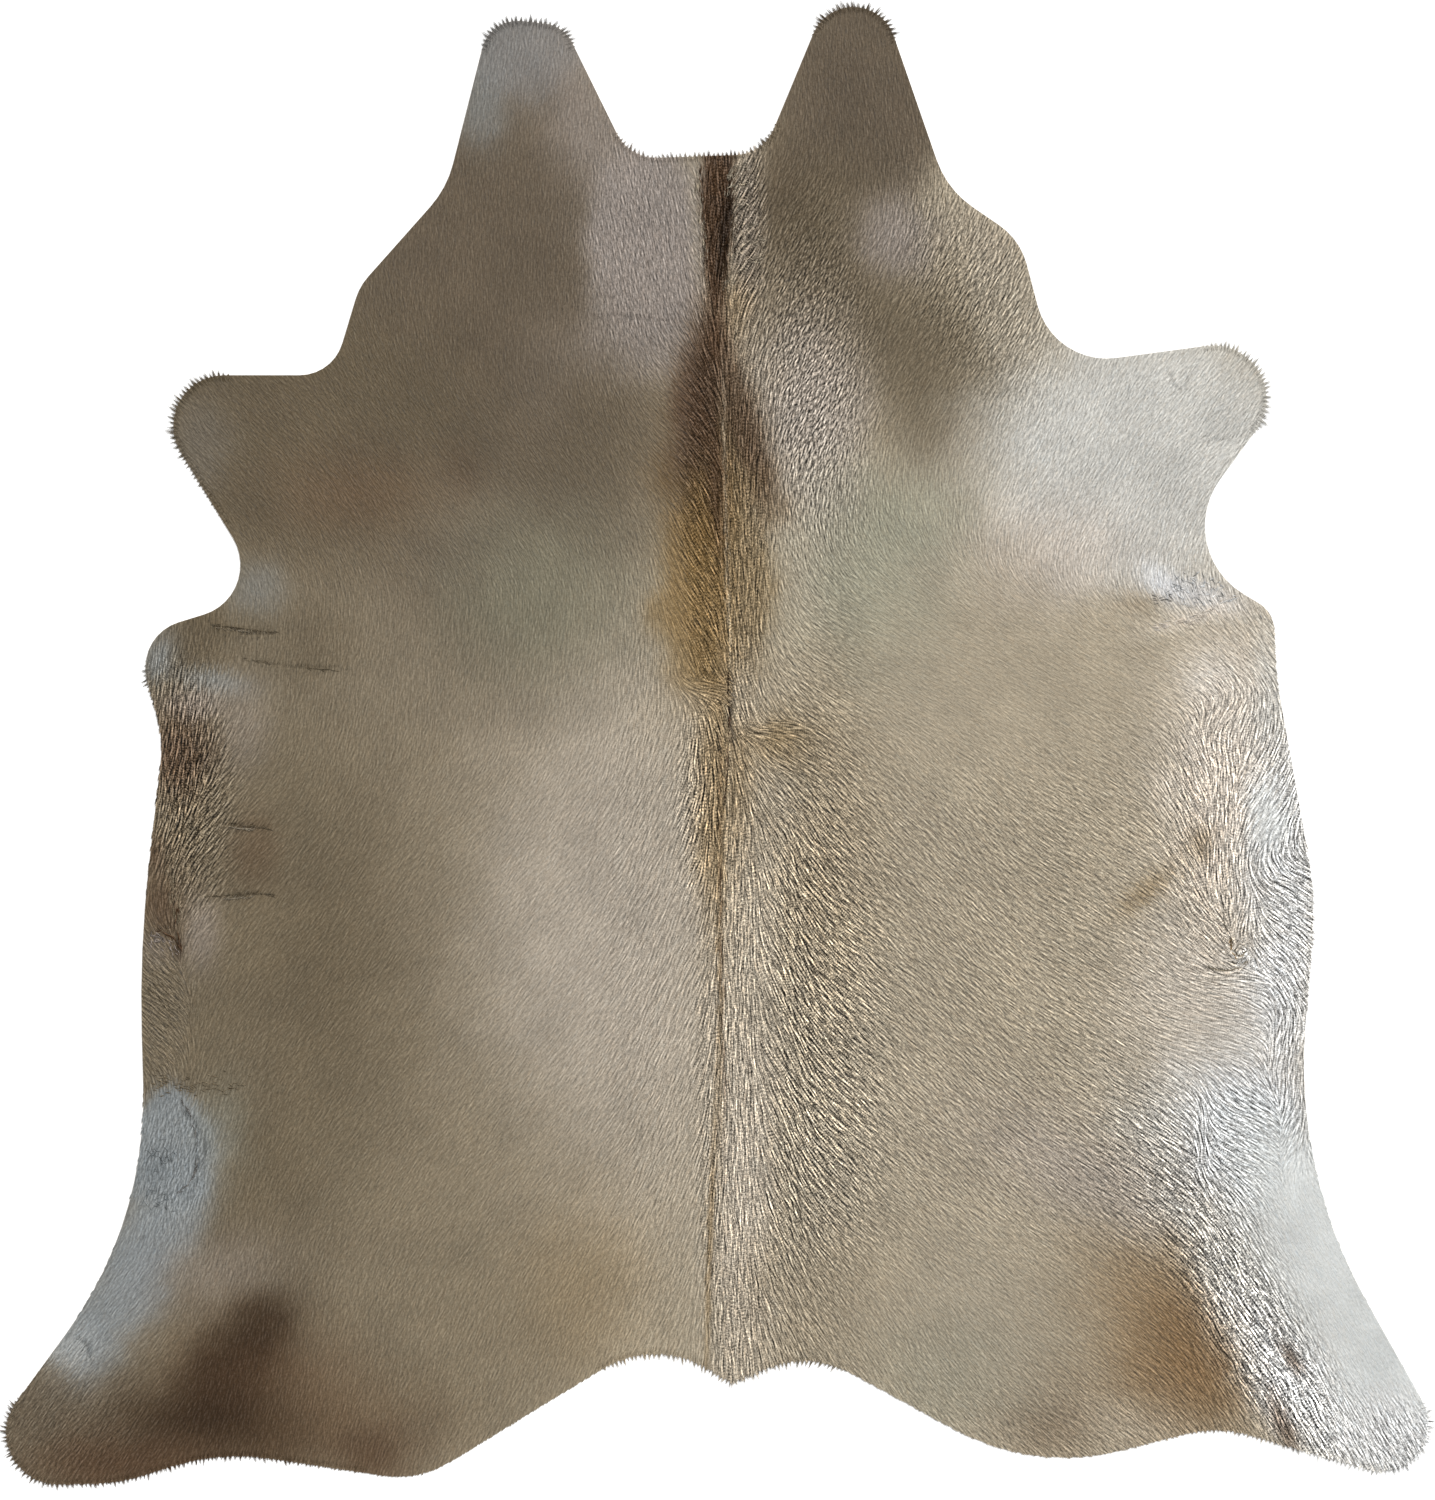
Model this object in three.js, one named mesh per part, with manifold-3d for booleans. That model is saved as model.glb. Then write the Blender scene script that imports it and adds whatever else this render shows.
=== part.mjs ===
// Cowhide rug: one whole hide with the hair on, spread flat on the floor, hair side up.
// Millimetres. +Z is up, +Y points to the neck and +X to the right, as seen from above.
// The origin is on the floor, under the middle of the hide.

import * as THREE from 'three';
import { mergeVertices } from 'three/addons/utils/BufferGeometryUtils.js';
import Module from 'manifold-3d';

// Driving sizes
const HALF_WIDTH = 1060;       // half of the sheet that the hide is cut from
const HALF_LENGTH = 1110;
const LEATHER = 2;             // the tanned skin alone
const RIM_NAP = 1;             // flat hair over the cut edge
const FULL_NAP = 3.6;          // flat hair away from the edge
const NAP_RUN = 70;            // the nap reaches its full height this far inside the edge
const WAVE = 0.45;             // the coat is this uneven, up and down
const ACROSS_STEPS = 52;       // facets over the sheet's width, closer at the spine
const ALONG_STEPS = 46;
const ARC_SAG = 1;             // the outline's chords leave its arcs by no more than this

// Hair locks that stick out over the cut edge
const LOCK_PITCH = 12.5;
const LOCK_WIDTH = 10.5;
const LOCK_HEIGHT = 2.6;
const LOCK_ROOT = 7;           // how far a lock is buried in the hide
const LOCK_LEAN = 0.3;         // radians, most that a lock turns from square to the edge
const LOCK_UNEVEN = 0.22;      // share by which a lock is longer or shorter than its tuft

// The outline is a chain of arcs with straight runs between them, anticlockwise from the neck.
// A positive radius bulges outwards and a negative one is a bay. The tuft is how far the hair
// sticks out along the arc, and onward is the same along the straight run to the next arc.
const ROUNDS = [
  { place: 'neck notch, left corner', across: -90, along: 915, radius: -61, tuft: 10, onward: 0 },
  { place: 'left neck flap, inner', across: -254, along: 999, radius: 49, tuft: 12, onward: 12 },
  { place: 'left neck flap, outer', across: -289, along: 1000, radius: 52, tuft: 13, onward: 0 },
  { place: 'left side of the neck', across: -527, along: 883, radius: -150, tuft: 0, onward: 0 },
  { place: 'left shoulder', across: -441, along: 626, radius: 85, tuft: 0, onward: 0 },
  { place: 'front of left foreleg', across: -604, along: 605, radius: -65, tuft: 0, onward: 0 },
  { place: 'left foreleg end', across: -713, along: 467, radius: 73, tuft: 13, onward: 10 },
  { place: 'behind left foreleg', across: -764, along: 266, radius: -75, tuft: 0, onward: 0 },
  { place: 'left elbow', across: -759, along: 119, radius: 67, tuft: 7, onward: 0 },
  { place: 'behind left elbow', across: -979, along: 1, radius: -176, tuft: 0, onward: 0 },
  { place: 'left belly', across: 902, along: -363, radius: 1734, tuft: 0, onward: 0 },
  { place: 'left hind leg', across: -1409, along: -502, radius: -580, tuft: 0, onward: 0 },
  { place: 'left hind foot', across: -952, along: -987, radius: 75, tuft: 13, onward: 9 },
  { place: 'left hind foot, sole', across: -906, along: -811, radius: 250, tuft: 9, onward: 9 },
  { place: 'left heel', across: -693, along: -1337, radius: -316, tuft: 10, onward: 9 },
  { place: 'left rump', across: -462, along: -907, radius: 144, tuft: 0, onward: 0 },
  { place: 'left of the tail', across: -89, along: -1019, radius: -146, tuft: 12, onward: 12 },
  { place: 'tail tip', across: 21, along: -905, radius: 8, tuft: 13, onward: 12 },
  { place: 'right of the tail', across: 125, along: -1019, radius: -136, tuft: 13, onward: 0 },
  { place: 'right rump', across: 502, along: -691, radius: 332, tuft: 0, onward: 0 },
  { place: 'right heel', across: 720, along: -1146, radius: -163, tuft: 8, onward: 9 },
  { place: 'right hind foot', across: 960, along: -975, radius: 67, tuft: 12, onward: 0 },
  { place: 'right hind leg', across: 1541, along: -455, radius: -694, tuft: 0, onward: 0 },
  { place: 'right belly', across: 285, along: -240, radius: 575, tuft: 0, onward: 0 },
  { place: 'behind right elbow', across: 1095, along: 136, radius: -289, tuft: 0, onward: 0 },
  { place: 'right elbow', across: 761, along: 173, radius: 43, tuft: 0, onward: 0 },
  { place: 'behind right foreleg', across: 818, along: 322, radius: -114, tuft: 0, onward: 0 },
  { place: 'right foreleg end', across: 716, along: 506, radius: 77, tuft: 12, onward: 0 },
  { place: 'front of right foreleg', across: 562, along: 667, radius: -103, tuft: 0, onward: 0 },
  { place: 'right shoulder', across: 351, along: 675, radius: 99, tuft: 0, onward: 0 },
  { place: 'right side of the neck', across: 446, along: 896, radius: -137, tuft: 0, onward: 0 },
  { place: 'right neck flap', across: 196, along: 1010, radius: 62, tuft: 13, onward: 0 },
  { place: 'neck notch, right corner', across: 25, along: 919, radius: -61, tuft: 10, onward: 10 },
];

// Ridges of longer hair, and creases, which have a negative rise. Each runs from one point
// to another and fades out over its reach to both sides.
const FOLDS = [
  { place: 'mane', from: [-4, 850], to: [-2, 650], reach: 52, rise: 2.2 },
  { place: 'withers', from: [4, 610], to: [12, 80], reach: 62, rise: 1.9 },
  { place: 'back, front half', from: [16, 50], to: [14, -430], reach: 52, rise: 2.1 },
  { place: 'back, rear half', from: [14, -430], to: [20, -905], reach: 52, rise: 2.1 },
  { place: 'parting, front half', from: [2, 40], to: [-2, -430], reach: 20, rise: -1.3 },
  { place: 'parting, rear half', from: [-2, -430], to: [-16, -880], reach: 20, rise: -1 },
  { place: 'break in the mane', from: [-40, 642], to: [12, 646], reach: 24, rise: -1.6 },
  { place: 'left elbow crease', from: [-735, 176], to: [-630, 158], reach: 34, rise: -1.5 },
  { place: 'left chest crease', from: [-680, 129], to: [-500, 111], reach: 32, rise: -1 },
  { place: 'left belly crease, front', from: [-715, -110], to: [-620, -118], reach: 34, rise: -1.3 },
  { place: 'left belly crease, rear', from: [-720, -214], to: [-640, -206], reach: 34, rise: -1.3 },
  { place: 'left flank fold', from: [-818, -200], to: [-782, -250], reach: 40, rise: 1.8 },
  { place: 'left flank dent', from: [-785, -286], to: [-768, -300], reach: 40, rise: -2 },
  { place: 'left hock crease', from: [-922, -845], to: [-890, -912], reach: 34, rise: -1.5 },
  { place: 'right elbow fold', from: [687, 183], to: [770, 224], reach: 34, rise: 1.5 },
  { place: 'right elbow crease', from: [590, 196], to: [680, 170], reach: 34, rise: -1.2 },
  { place: 'right foreleg crease', from: [696, 451], to: [770, 450], reach: 34, rise: -1.2 },
  { place: 'right flank ruffle', from: [790, 10], to: [800, -150], reach: 50, rise: 1.6 },
  { place: 'right flank whorl', from: [755, -290], to: [755, -300], reach: 44, rise: -1.6 },
  { place: 'right thigh swirl', from: [800, -480], to: [806, -580], reach: 70, rise: 1.3 },
  { place: 'right thigh fringe', from: [690, -760], to: [850, -990], reach: 60, rise: 1.7 },
];

const wasm = await Module();
wasm.setup();

// Solids for joining and cutting are made from closed meshes with shared corners.
function solidOf(geometry) {
  geometry.deleteAttribute('normal');
  geometry.deleteAttribute('uv');
  const merged = mergeVertices(geometry);
  const vertProperties = new Float32Array(merged.attributes.position.array);
  const triVerts = new Uint32Array(merged.index.array);
  return new wasm.Manifold(new wasm.Mesh({ numProp: 3, vertProperties, triVerts }));
}

function geometryOf(solid) {
  const mesh = solid.getMesh();
  const geometry = new THREE.BufferGeometry();
  geometry.setAttribute('position', new THREE.BufferAttribute(mesh.vertProperties, 3));
  geometry.setIndex(new THREE.BufferAttribute(mesh.triVerts, 1));
  geometry.computeVertexNormals();
  return geometry;
}

// The heading, in radians, of the straight run that leaves one round and meets the next.
function heading(round, next) {
  const across = next.across - round.across;
  const along = next.along - round.along;
  return Math.atan2(along, across)
    + Math.asin((round.radius - next.radius) / Math.hypot(across, along));
}

// A point of the edge, where the edge runs past a round with the given heading.
function edgePoint(round, angle, tuft) {
  const out = new THREE.Vector2(Math.sin(angle), -Math.cos(angle));
  const at = new THREE.Vector2(round.across, round.along).addScaledVector(out, round.radius);
  return { at, out, tuft };
}

// Walks the rounds once and lists the edge's points, each with its outward direction.
function hideEdge() {
  const edge = [];
  ROUNDS.forEach((round, i) => {
    const before = ROUNDS[(i + ROUNDS.length - 1) % ROUNDS.length];
    const next = ROUNDS[(i + 1) % ROUNDS.length];
    const start = heading(before, round);
    const turn = THREE.MathUtils.euclideanModulo(heading(round, next) - start + Math.PI, 2 * Math.PI);
    const sweep = turn - Math.PI;
    const widest = 2 * Math.acos(1 - ARC_SAG / Math.abs(round.radius));
    const steps = Math.max(1, Math.ceil(Math.abs(sweep) / widest));
    for (let k = 0; k <= steps; k += 1) {
      const tuft = k < steps ? round.tuft : round.onward;
      edge.push(edgePoint(round, start + sweep * k / steps, tuft));
    }
  });
  return edge;
}

// Distance from a point of the plan to a straight piece between two others.
function distanceTo(point, from, to) {
  const run = to.clone().sub(from);
  const t = THREE.MathUtils.clamp(point.clone().sub(from).dot(run) / run.lengthSq(), 0, 1);
  return point.distanceTo(from.clone().addScaledVector(run, t));
}

// How far a point of the plan lies inside the edge, and 0 for any point outside it.
function depthInside(point, edge) {
  let nearest = Infinity;
  let inside = false;
  edge.forEach(({ at }, i) => {
    const next = edge[(i + 1) % edge.length].at;
    nearest = Math.min(nearest, distanceTo(point, at, next));
    const crosses = (at.y > point.y) !== (next.y > point.y);
    const level = (point.y - at.y) / (next.y - at.y);
    if (crosses && point.x < at.x + level * (next.x - at.x)) inside = !inside;
  });
  return inside ? nearest : 0;
}

// Height of the coat above the floor at a point of the plan.
function coatHeight(point, edge) {
  const lift = THREE.MathUtils.smoothstep(depthInside(point, edge), 0, NAP_RUN);
  const swell = Math.sin(point.x / 118 + point.y / 260) * Math.cos(point.y / 97 - point.x / 310);
  let height = RIM_NAP + lift * (FULL_NAP - RIM_NAP + WAVE * swell);
  FOLDS.forEach(({ from, to, reach, rise }) => {
    const away = distanceTo(point, new THREE.Vector2(...from), new THREE.Vector2(...to));
    height += rise * (0.25 + 0.75 * lift) * (1 - THREE.MathUtils.smoothstep(away, 0, reach));
  });
  return LEATHER + Math.max(RIM_NAP / 2, height);
}

// A flat-bottomed sheet whose top follows the coat, before the outline is cut.
function coatSheet(edge) {
  const geometry = new THREE.BoxGeometry(2, 2, 1, ACROSS_STEPS, ALONG_STEPS, 1);
  const corner = new THREE.Vector3();
  const places = geometry.attributes.position;
  for (let i = 0; i < places.count; i += 1) {
    corner.fromBufferAttribute(places, i);
    const across = HALF_WIDTH * corner.x * (1 + Math.abs(corner.x)) / 2;
    const along = HALF_LENGTH * corner.y;
    const top = corner.z > 0 ? coatHeight(new THREE.Vector2(across, along), edge) : 0;
    places.setXYZ(i, across, along, top);
  }
  return solidOf(geometry);
}

// A tall block with the hide's outline, which trims the sheet.
function outlineBlock(edge) {
  const shape = new THREE.Shape(edge.map(({ at }) => at));
  const geometry = new THREE.ExtrudeGeometry(shape, { depth: 40, bevelEnabled: false });
  geometry.translate(0, 0, -20);
  return solidOf(geometry);
}

// One lock of hair: three-sided, flat on the floor, thick at its root and pointed at its tip.
function hairLock(root, out, length, lean) {
  const geometry = new THREE.ConeGeometry(1, 1, 3);
  const ahead = out.clone().rotateAround(new THREE.Vector2(), lean);
  const places = geometry.attributes.position;
  for (let i = 0; i < places.count; i += 1) {
    const run = places.getY(i) + 0.5;
    const side = places.getX(i) / Math.cos(Math.PI / 6) * LOCK_WIDTH / 2;
    const up = (places.getZ(i) + 0.5) / 1.5 * LOCK_HEIGHT * (1 - run);
    const forward = run * (length + LOCK_ROOT) - LOCK_ROOT;
    places.setXYZ(
      i,
      root.x + ahead.x * forward + ahead.y * side,
      root.y + ahead.y * forward - ahead.x * side,
      up,
    );
  }
  return solidOf(geometry);
}

// Locks at an even pitch along every stretch of the edge that has a tuft.
function hairLocks(edge) {
  const locks = [];
  let walked = 0;
  edge.forEach((point, i) => {
    const next = edge[(i + 1) % edge.length];
    const run = point.at.distanceTo(next.at);
    for (; point.tuft > 0 && walked < run; walked += LOCK_PITCH) {
      const t = walked / run;
      const wobble = Math.sin(2.4 * locks.length);
      const length = point.tuft * (1 + LOCK_UNEVEN * wobble);
      const out = point.out.clone().lerp(next.out, t).normalize();
      const root = point.at.clone().lerp(next.at, t);
      locks.push(hairLock(root, out, length, LOCK_LEAN * Math.sin(1.7 * locks.length)));
    }
    walked = point.tuft > 0 ? walked - run : 0;
  });
  return locks;
}

function hide() {
  const edge = hideEdge();
  let solid = coatSheet(edge).intersect(outlineBlock(edge));
  hairLocks(edge).forEach((lock) => {
    solid = solid.add(lock);
  });
  const coat = new THREE.MeshStandardMaterial({ color: 0x96897a, roughness: 0.62, metalness: 0 });
  const mesh = new THREE.Mesh(geometryOf(solid), coat);
  mesh.name = 'hide';
  return mesh;
}

const rug = new THREE.Group();
rug.add(hide());

export default rug;
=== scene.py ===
# %% [markdown]
# A cowhide rug, hair side up.
#
# The rug is one cow's skin, tanned with its hair on and trimmed around the edge. Nothing is
# sewn to it. What the eye sees from above is not the leather but the coat: short hairs without
# number that lie flat, each area combed its own way, in colours that run into each other. So
# the model is a thin leather sheet, and on it two hundred thousand small solid locks of hair,
# each coloured and turned for the place where it grows.
#
# All sizes are metres. +Y points to the neck, +X to the right as seen from above.

# %% Load the packed hide
import math

import bmesh
import bpy
import numpy as np
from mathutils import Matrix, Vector


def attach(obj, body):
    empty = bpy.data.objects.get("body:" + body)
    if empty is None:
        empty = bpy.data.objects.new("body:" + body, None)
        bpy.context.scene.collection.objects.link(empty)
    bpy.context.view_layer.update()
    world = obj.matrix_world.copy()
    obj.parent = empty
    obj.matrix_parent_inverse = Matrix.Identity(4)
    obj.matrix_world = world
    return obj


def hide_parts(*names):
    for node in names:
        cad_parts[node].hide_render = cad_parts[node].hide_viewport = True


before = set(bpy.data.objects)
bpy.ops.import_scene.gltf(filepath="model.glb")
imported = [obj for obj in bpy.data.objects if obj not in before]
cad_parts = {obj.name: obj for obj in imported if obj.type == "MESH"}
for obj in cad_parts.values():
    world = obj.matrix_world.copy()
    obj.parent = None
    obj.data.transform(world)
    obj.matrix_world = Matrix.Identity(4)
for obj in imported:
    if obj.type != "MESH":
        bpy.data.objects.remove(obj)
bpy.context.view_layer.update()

# %% [markdown]
# The studio is plain. The photograph looks straight down, so the camera hangs over the hide
# with a long lens, which keeps the legs from leaning outwards. A wide soft sun from the upper
# right brings out the hair, and a pale world fills the shadows. The floor is a single large
# plane, almost white.

# %% Camera above the hide
PICTURE_HEIGHT = 1500            # the photograph's pixels from top to bottom
METRES_PER_PIXEL = 0.001445
PICTURE_MIDDLE = (0.0, -0.0014)
LONG_LENS = 85.0
SENSOR = 36.0


def camera_above():
    """A camera whose frame just holds the picture's height at floor level."""
    lens = bpy.data.cameras.new("camera_above")
    lens.lens = LONG_LENS
    lens.sensor_width = SENSOR
    camera = bpy.data.objects.new("camera_above", lens)
    height = LONG_LENS / SENSOR * PICTURE_HEIGHT * METRES_PER_PIXEL
    camera.location = (*PICTURE_MIDDLE, height)
    bpy.context.scene.collection.objects.link(camera)
    bpy.context.scene.camera = camera
    return height


print("camera height", round(camera_above(), 3), "m")

# %% Soft light and a pale floor
SUN_STRENGTH = 3.1
SUN_SOFTNESS = math.radians(28)
SUN_TILT = math.radians(42)      # away from straight above
SUN_SIDE = math.radians(-42)     # turned to the right of the neck
SKY_STRENGTH = 0.72
SKY_COLOUR = (1, 1, 1, 1)
FLOOR_HALF = 60.0


def studio_light():
    sun = bpy.data.lights.new("soft_sun", "SUN")
    sun.energy = SUN_STRENGTH
    sun.angle = SUN_SOFTNESS
    lamp = bpy.data.objects.new("soft_sun", sun)
    lamp.rotation_euler = (-SUN_TILT, 0, SUN_SIDE)
    bpy.context.scene.collection.objects.link(lamp)
    world = bpy.data.worlds.new("pale_room")
    world.use_nodes = True
    sky = world.node_tree.nodes["Background"].inputs
    sky["Color"].default_value = SKY_COLOUR
    sky["Strength"].default_value = SKY_STRENGTH
    bpy.context.scene.world = world
    bpy.context.scene.view_settings.view_transform = "Standard"


def pale_floor():
    shape = bmesh.new()
    bmesh.ops.create_grid(shape, x_segments=1, y_segments=1, size=FLOOR_HALF)
    mesh = bpy.data.meshes.new("floor")
    shape.to_mesh(mesh)
    shape.free()
    floor = bpy.data.objects.new("floor", mesh)
    bpy.context.scene.collection.objects.link(floor)
    return floor


studio_light()
floor = pale_floor()
print("the floor is", 2 * FLOOR_HALF, "m wide, the sun's strength", SUN_STRENGTH)

# %% [markdown]
# The outline is the one thing that makes a cowhide a cowhide. It was cut with a knife in long
# sweeps, so it is a chain of arcs with straight runs between them. The table lists each arc's
# middle and radius, anticlockwise from the neck: a positive radius is a bulge and a negative
# one is a bay. Where hair sticks out past the cut, the tuft says how far, and the onward tuft
# says it for the straight run that follows. Every table here names its columns once, so a
# small helper turns the rows into dictionaries.

# %% Tables with named columns
def table(columns, rows, **usual):
    """Rows as dictionaries. A short row leaves its last columns at their usual values."""
    names = columns.split()
    filled = [row + tuple(usual[name] for name in names[len(row):]) for row in rows]
    return [dict(zip(names, row)) for row in filled]


print("a short row reads", table("place tuft", [("neck",)], tuft=0))

# %% The outline's rounds
ROUNDS = table("place at radius tuft onward", [
    ("neck notch, left corner", (-0.09, 0.915), -0.061, 0.01),
    ("left neck flap, inner", (-0.254, 0.999), 0.049, 0.012, 0.012),
    ("left neck flap, outer", (-0.289, 1.0), 0.052, 0.013),
    ("left side of the neck", (-0.527, 0.883), -0.15),
    ("left shoulder", (-0.441, 0.626), 0.085),
    ("front of left foreleg", (-0.604, 0.605), -0.065),
    ("left foreleg end", (-0.713, 0.467), 0.073, 0.013, 0.01),
    ("behind left foreleg", (-0.764, 0.266), -0.075),
    ("left elbow, upper", (-0.759, 0.119), 0.067),
    ("left elbow, lower", (-0.759, 0.118), 0.067, 0.013, 0.011),
    ("behind left elbow", (-0.979, 0.001), -0.176),
    ("left belly", (0.902, -0.363), 1.734),
    ("left hind leg", (-1.409, -0.502), -0.58),
    ("left hind foot", (-0.952, -0.987), 0.075, 0.013, 0.009),
    ("left hind foot, sole", (-0.906, -0.811), 0.25, 0.009, 0.009),
    ("left heel", (-0.693, -1.337), -0.316, 0.01, 0.009),
    ("left rump", (-0.462, -0.907), 0.144),
    ("left of the tail", (-0.089, -1.019), -0.146, 0.012, 0.012),
    ("tail tip", (0.021, -0.905), 0.008, 0.013, 0.012),
    ("right of the tail", (0.125, -1.019), -0.136, 0.013),
    ("right rump", (0.502, -0.691), 0.332),
    ("right heel", (0.72, -1.146), -0.163, 0.008, 0.009),
    ("right hind foot", (0.96, -0.975), 0.067, 0.012),
    ("right hind leg", (1.541, -0.455), -0.694),
    ("right belly", (0.285, -0.24), 0.575),
    ("behind right elbow", (1.095, 0.136), -0.289),
    ("right elbow", (0.761, 0.173), 0.043),
    ("behind right foreleg", (0.818, 0.322), -0.114),
    ("right foreleg end", (0.716, 0.506), 0.077, 0.012),
    ("front of right foreleg", (0.562, 0.667), -0.103),
    ("right shoulder", (0.351, 0.675), 0.099),
    ("right side of the neck", (0.446, 0.896), -0.137),
    ("right neck flap", (0.196, 1.01), 0.062, 0.013),
    ("neck notch, right corner", (0.025, 0.919), -0.061, 0.01, 0.01),
], tuft=0, onward=0)
ARC_SAG = 0.0003                 # the chords leave their arcs by no more than this


def heading_between(one, other):
    """Direction of the straight run that leaves one round and meets the other, in radians."""
    across, along = np.subtract(other["at"], one["at"])
    lean = math.asin((one["radius"] - other["radius"]) / math.hypot(across, along))
    return math.atan2(along, across) + lean


def walk_edge():
    """The edge's points, their outward directions and their tufts, anticlockwise."""
    points, outward, tufts = [], [], []
    for before, this, after in zip(ROUNDS[-1:] + ROUNDS[:-1], ROUNDS, ROUNDS[1:] + ROUNDS[:1]):
        start = heading_between(before, this)
        sweep = (heading_between(this, after) - start + math.pi) % (2 * math.pi) - math.pi
        widest = 2 * math.acos(1 - min(1, ARC_SAG / abs(this["radius"])))
        steps = max(1, math.ceil(abs(sweep) / widest))
        for k in range(steps + 1):
            angle = start + sweep * k / steps
            out = np.array([math.sin(angle), -math.cos(angle)])
            points.append(np.array(this["at"]) + this["radius"] * out)
            outward.append(out)
            tufts.append(this["tuft"] if k < steps else this["onward"])
    return np.array(points), np.array(outward), np.array(tufts)


edge, edge_out, edge_tuft = walk_edge()
next_corner = np.roll(edge, -1, axis=0)
HIDE_AREA = abs(np.sum(edge[:, 0] * next_corner[:, 1] - next_corner[:, 0] * edge[:, 1])) / 2

# %% [markdown]
# Much depends on how far a place is from the cut edge: the nap is thinner there, and no lock
# may grow outside. Asking every edge piece for every lock would be slow, so the distance is
# worked out once on a coarse net, and any place then reads it between the net's knots.

# %% Depth inside the edge
NET = 0.010
NET_MARGIN = 4                   # knots past the edge on each side
LAST_CELL = 1.001                # knots short of the net's end, so that one more always follows
NOT_NOTHING = 1e-12              # keeps a run without length from dividing by nothing


def nearest_share(x, y, start, end):
    """How far along a straight run each place's nearest point lies, from 0 to 1."""
    run = np.subtract(end, start)
    reached = (x - start[0]) * run[0] + (y - start[1]) * run[1]
    return np.clip(reached / max(run @ run, NOT_NOTHING), 0, 1)


def distance_to_run(x, y, start, end):
    """Distance from each place to a straight run between two points."""
    run = np.subtract(end, start)
    t = nearest_share(x, y, start, end)
    return np.hypot(x - start[0] - t * run[0], y - start[1] - t * run[1])


def depth_net():
    """Depth inside the edge on a net of knots, negative outside the hide."""
    low = edge.min(axis=0) - NET_MARGIN * NET
    counts = np.ceil((edge.max(axis=0) + NET_MARGIN * NET - low) / NET).astype(int) + 1
    x, y = np.meshgrid(low[0] + NET * np.arange(counts[0]), low[1] + NET * np.arange(counts[1]),
                       indexing="ij")
    nearest = np.full(x.shape, np.inf)
    inside = np.zeros(x.shape, bool)
    for start, end in zip(edge, next_corner):
        nearest = np.minimum(nearest, distance_to_run(x, y, start, end))
        if start[1] != end[1]:
            level = (y - start[1]) / (end[1] - start[1])
            crosses = (start[1] > y) != (end[1] > y)
            inside ^= crosses & (x < start[0] + level * (end[0] - start[0]))
    return low, np.where(inside, nearest, -nearest)


NET_LOW, NET_DEPTH = depth_net()


def between_knots(net, i, j, right, up, s, t):
    """A value inside a cell of a net, from the cell's four knots."""
    near = net[i, j] * (1 - s) + net[right, j] * s
    far = net[i, up] * (1 - s) + net[right, up] * s
    return near * (1 - t) + far * t


def depth_inside(x, y):
    """Depth inside the edge at any places, read from the net."""
    u = np.clip((x - NET_LOW[0]) / NET, 0, NET_DEPTH.shape[0] - LAST_CELL)
    v = np.clip((y - NET_LOW[1]) / NET, 0, NET_DEPTH.shape[1] - LAST_CELL)
    i, j = u.astype(int), v.astype(int)
    return between_knots(NET_DEPTH, i, j, i + 1, j + 1, u - i, v - j)


print("net of", NET_DEPTH.shape, "knots, deepest place", round(NET_DEPTH.max(), 3), "m")

# %% [markdown]
# Small helpers paint the hide. A soft oval is full in its middle and fades out at its
# rim, and a table of such ovals can carry colours or hair lengths. The smooth noise keeps ovals
# and locks from looking drawn.

# %% Soft ovals and smooth noise
LATTICE = 256                    # knots of the noise each way, after which it repeats
USUAL_FADE = 0.25                # share of an oval's reach over which its rim fades
NO_STEEPER = 30                  # keeps the fade's exponent in bounds


def smooth_noise(x, y, size, seed):
    """Soft random values from -1 to 1 that change over about the given size."""
    lattice = np.random.default_rng(seed).uniform(-1, 1, (LATTICE, LATTICE))
    u, v = x / size + LATTICE // 2, y / size + LATTICE // 2
    i, j = np.floor(u).astype(int), np.floor(v).astype(int)
    s, t = u - i, v - j
    s, t = s * s * (3 - 2 * s), t * t * (3 - 2 * t)
    i, j, right, up = i % LATTICE, j % LATTICE, (i + 1) % LATTICE, (j + 1) % LATTICE
    return between_knots(lattice, i, j, right, up, s, t)


def soft_oval(x, y, row):
    """1 in the middle of a turned oval, one half at its rim and 0 outside."""
    turn = math.radians(row["turn"])
    dx, dy = x - row["at"][0], y - row["at"][1]
    u = (dx * math.cos(turn) + dy * math.sin(turn)) / row["reach"][0]
    v = (dy * math.cos(turn) - dx * math.sin(turn)) / row["reach"][1]
    past_rim = (np.hypot(u, v) - 1) / row["fade"]
    return 1 / (1 + np.exp(np.clip(past_rim, -NO_STEEPER, NO_STEEPER)))


def smooth_rise(value, span):
    """0 at or below nothing, 1 at the span, and level at both ends."""
    t = np.clip(value / span, 0, 1)
    return t * t * (3 - 2 * t)


trial = dict(at=(0, 0), reach=(1, 1), fade=USUAL_FADE, turn=0)
print("an oval is", soft_oval(np.zeros(1), np.zeros(1), trial).round(2), "in its middle")

# %% [markdown]
# The hide is flat, but not quite. The hair stands highest along the mane and the back, the
# dried skin has kept creases at the legs, and the flanks are ruffled. Each fold is a line with
# a reach and a rise, the same ones that the packed solid has, and the thin creases are added.

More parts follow.
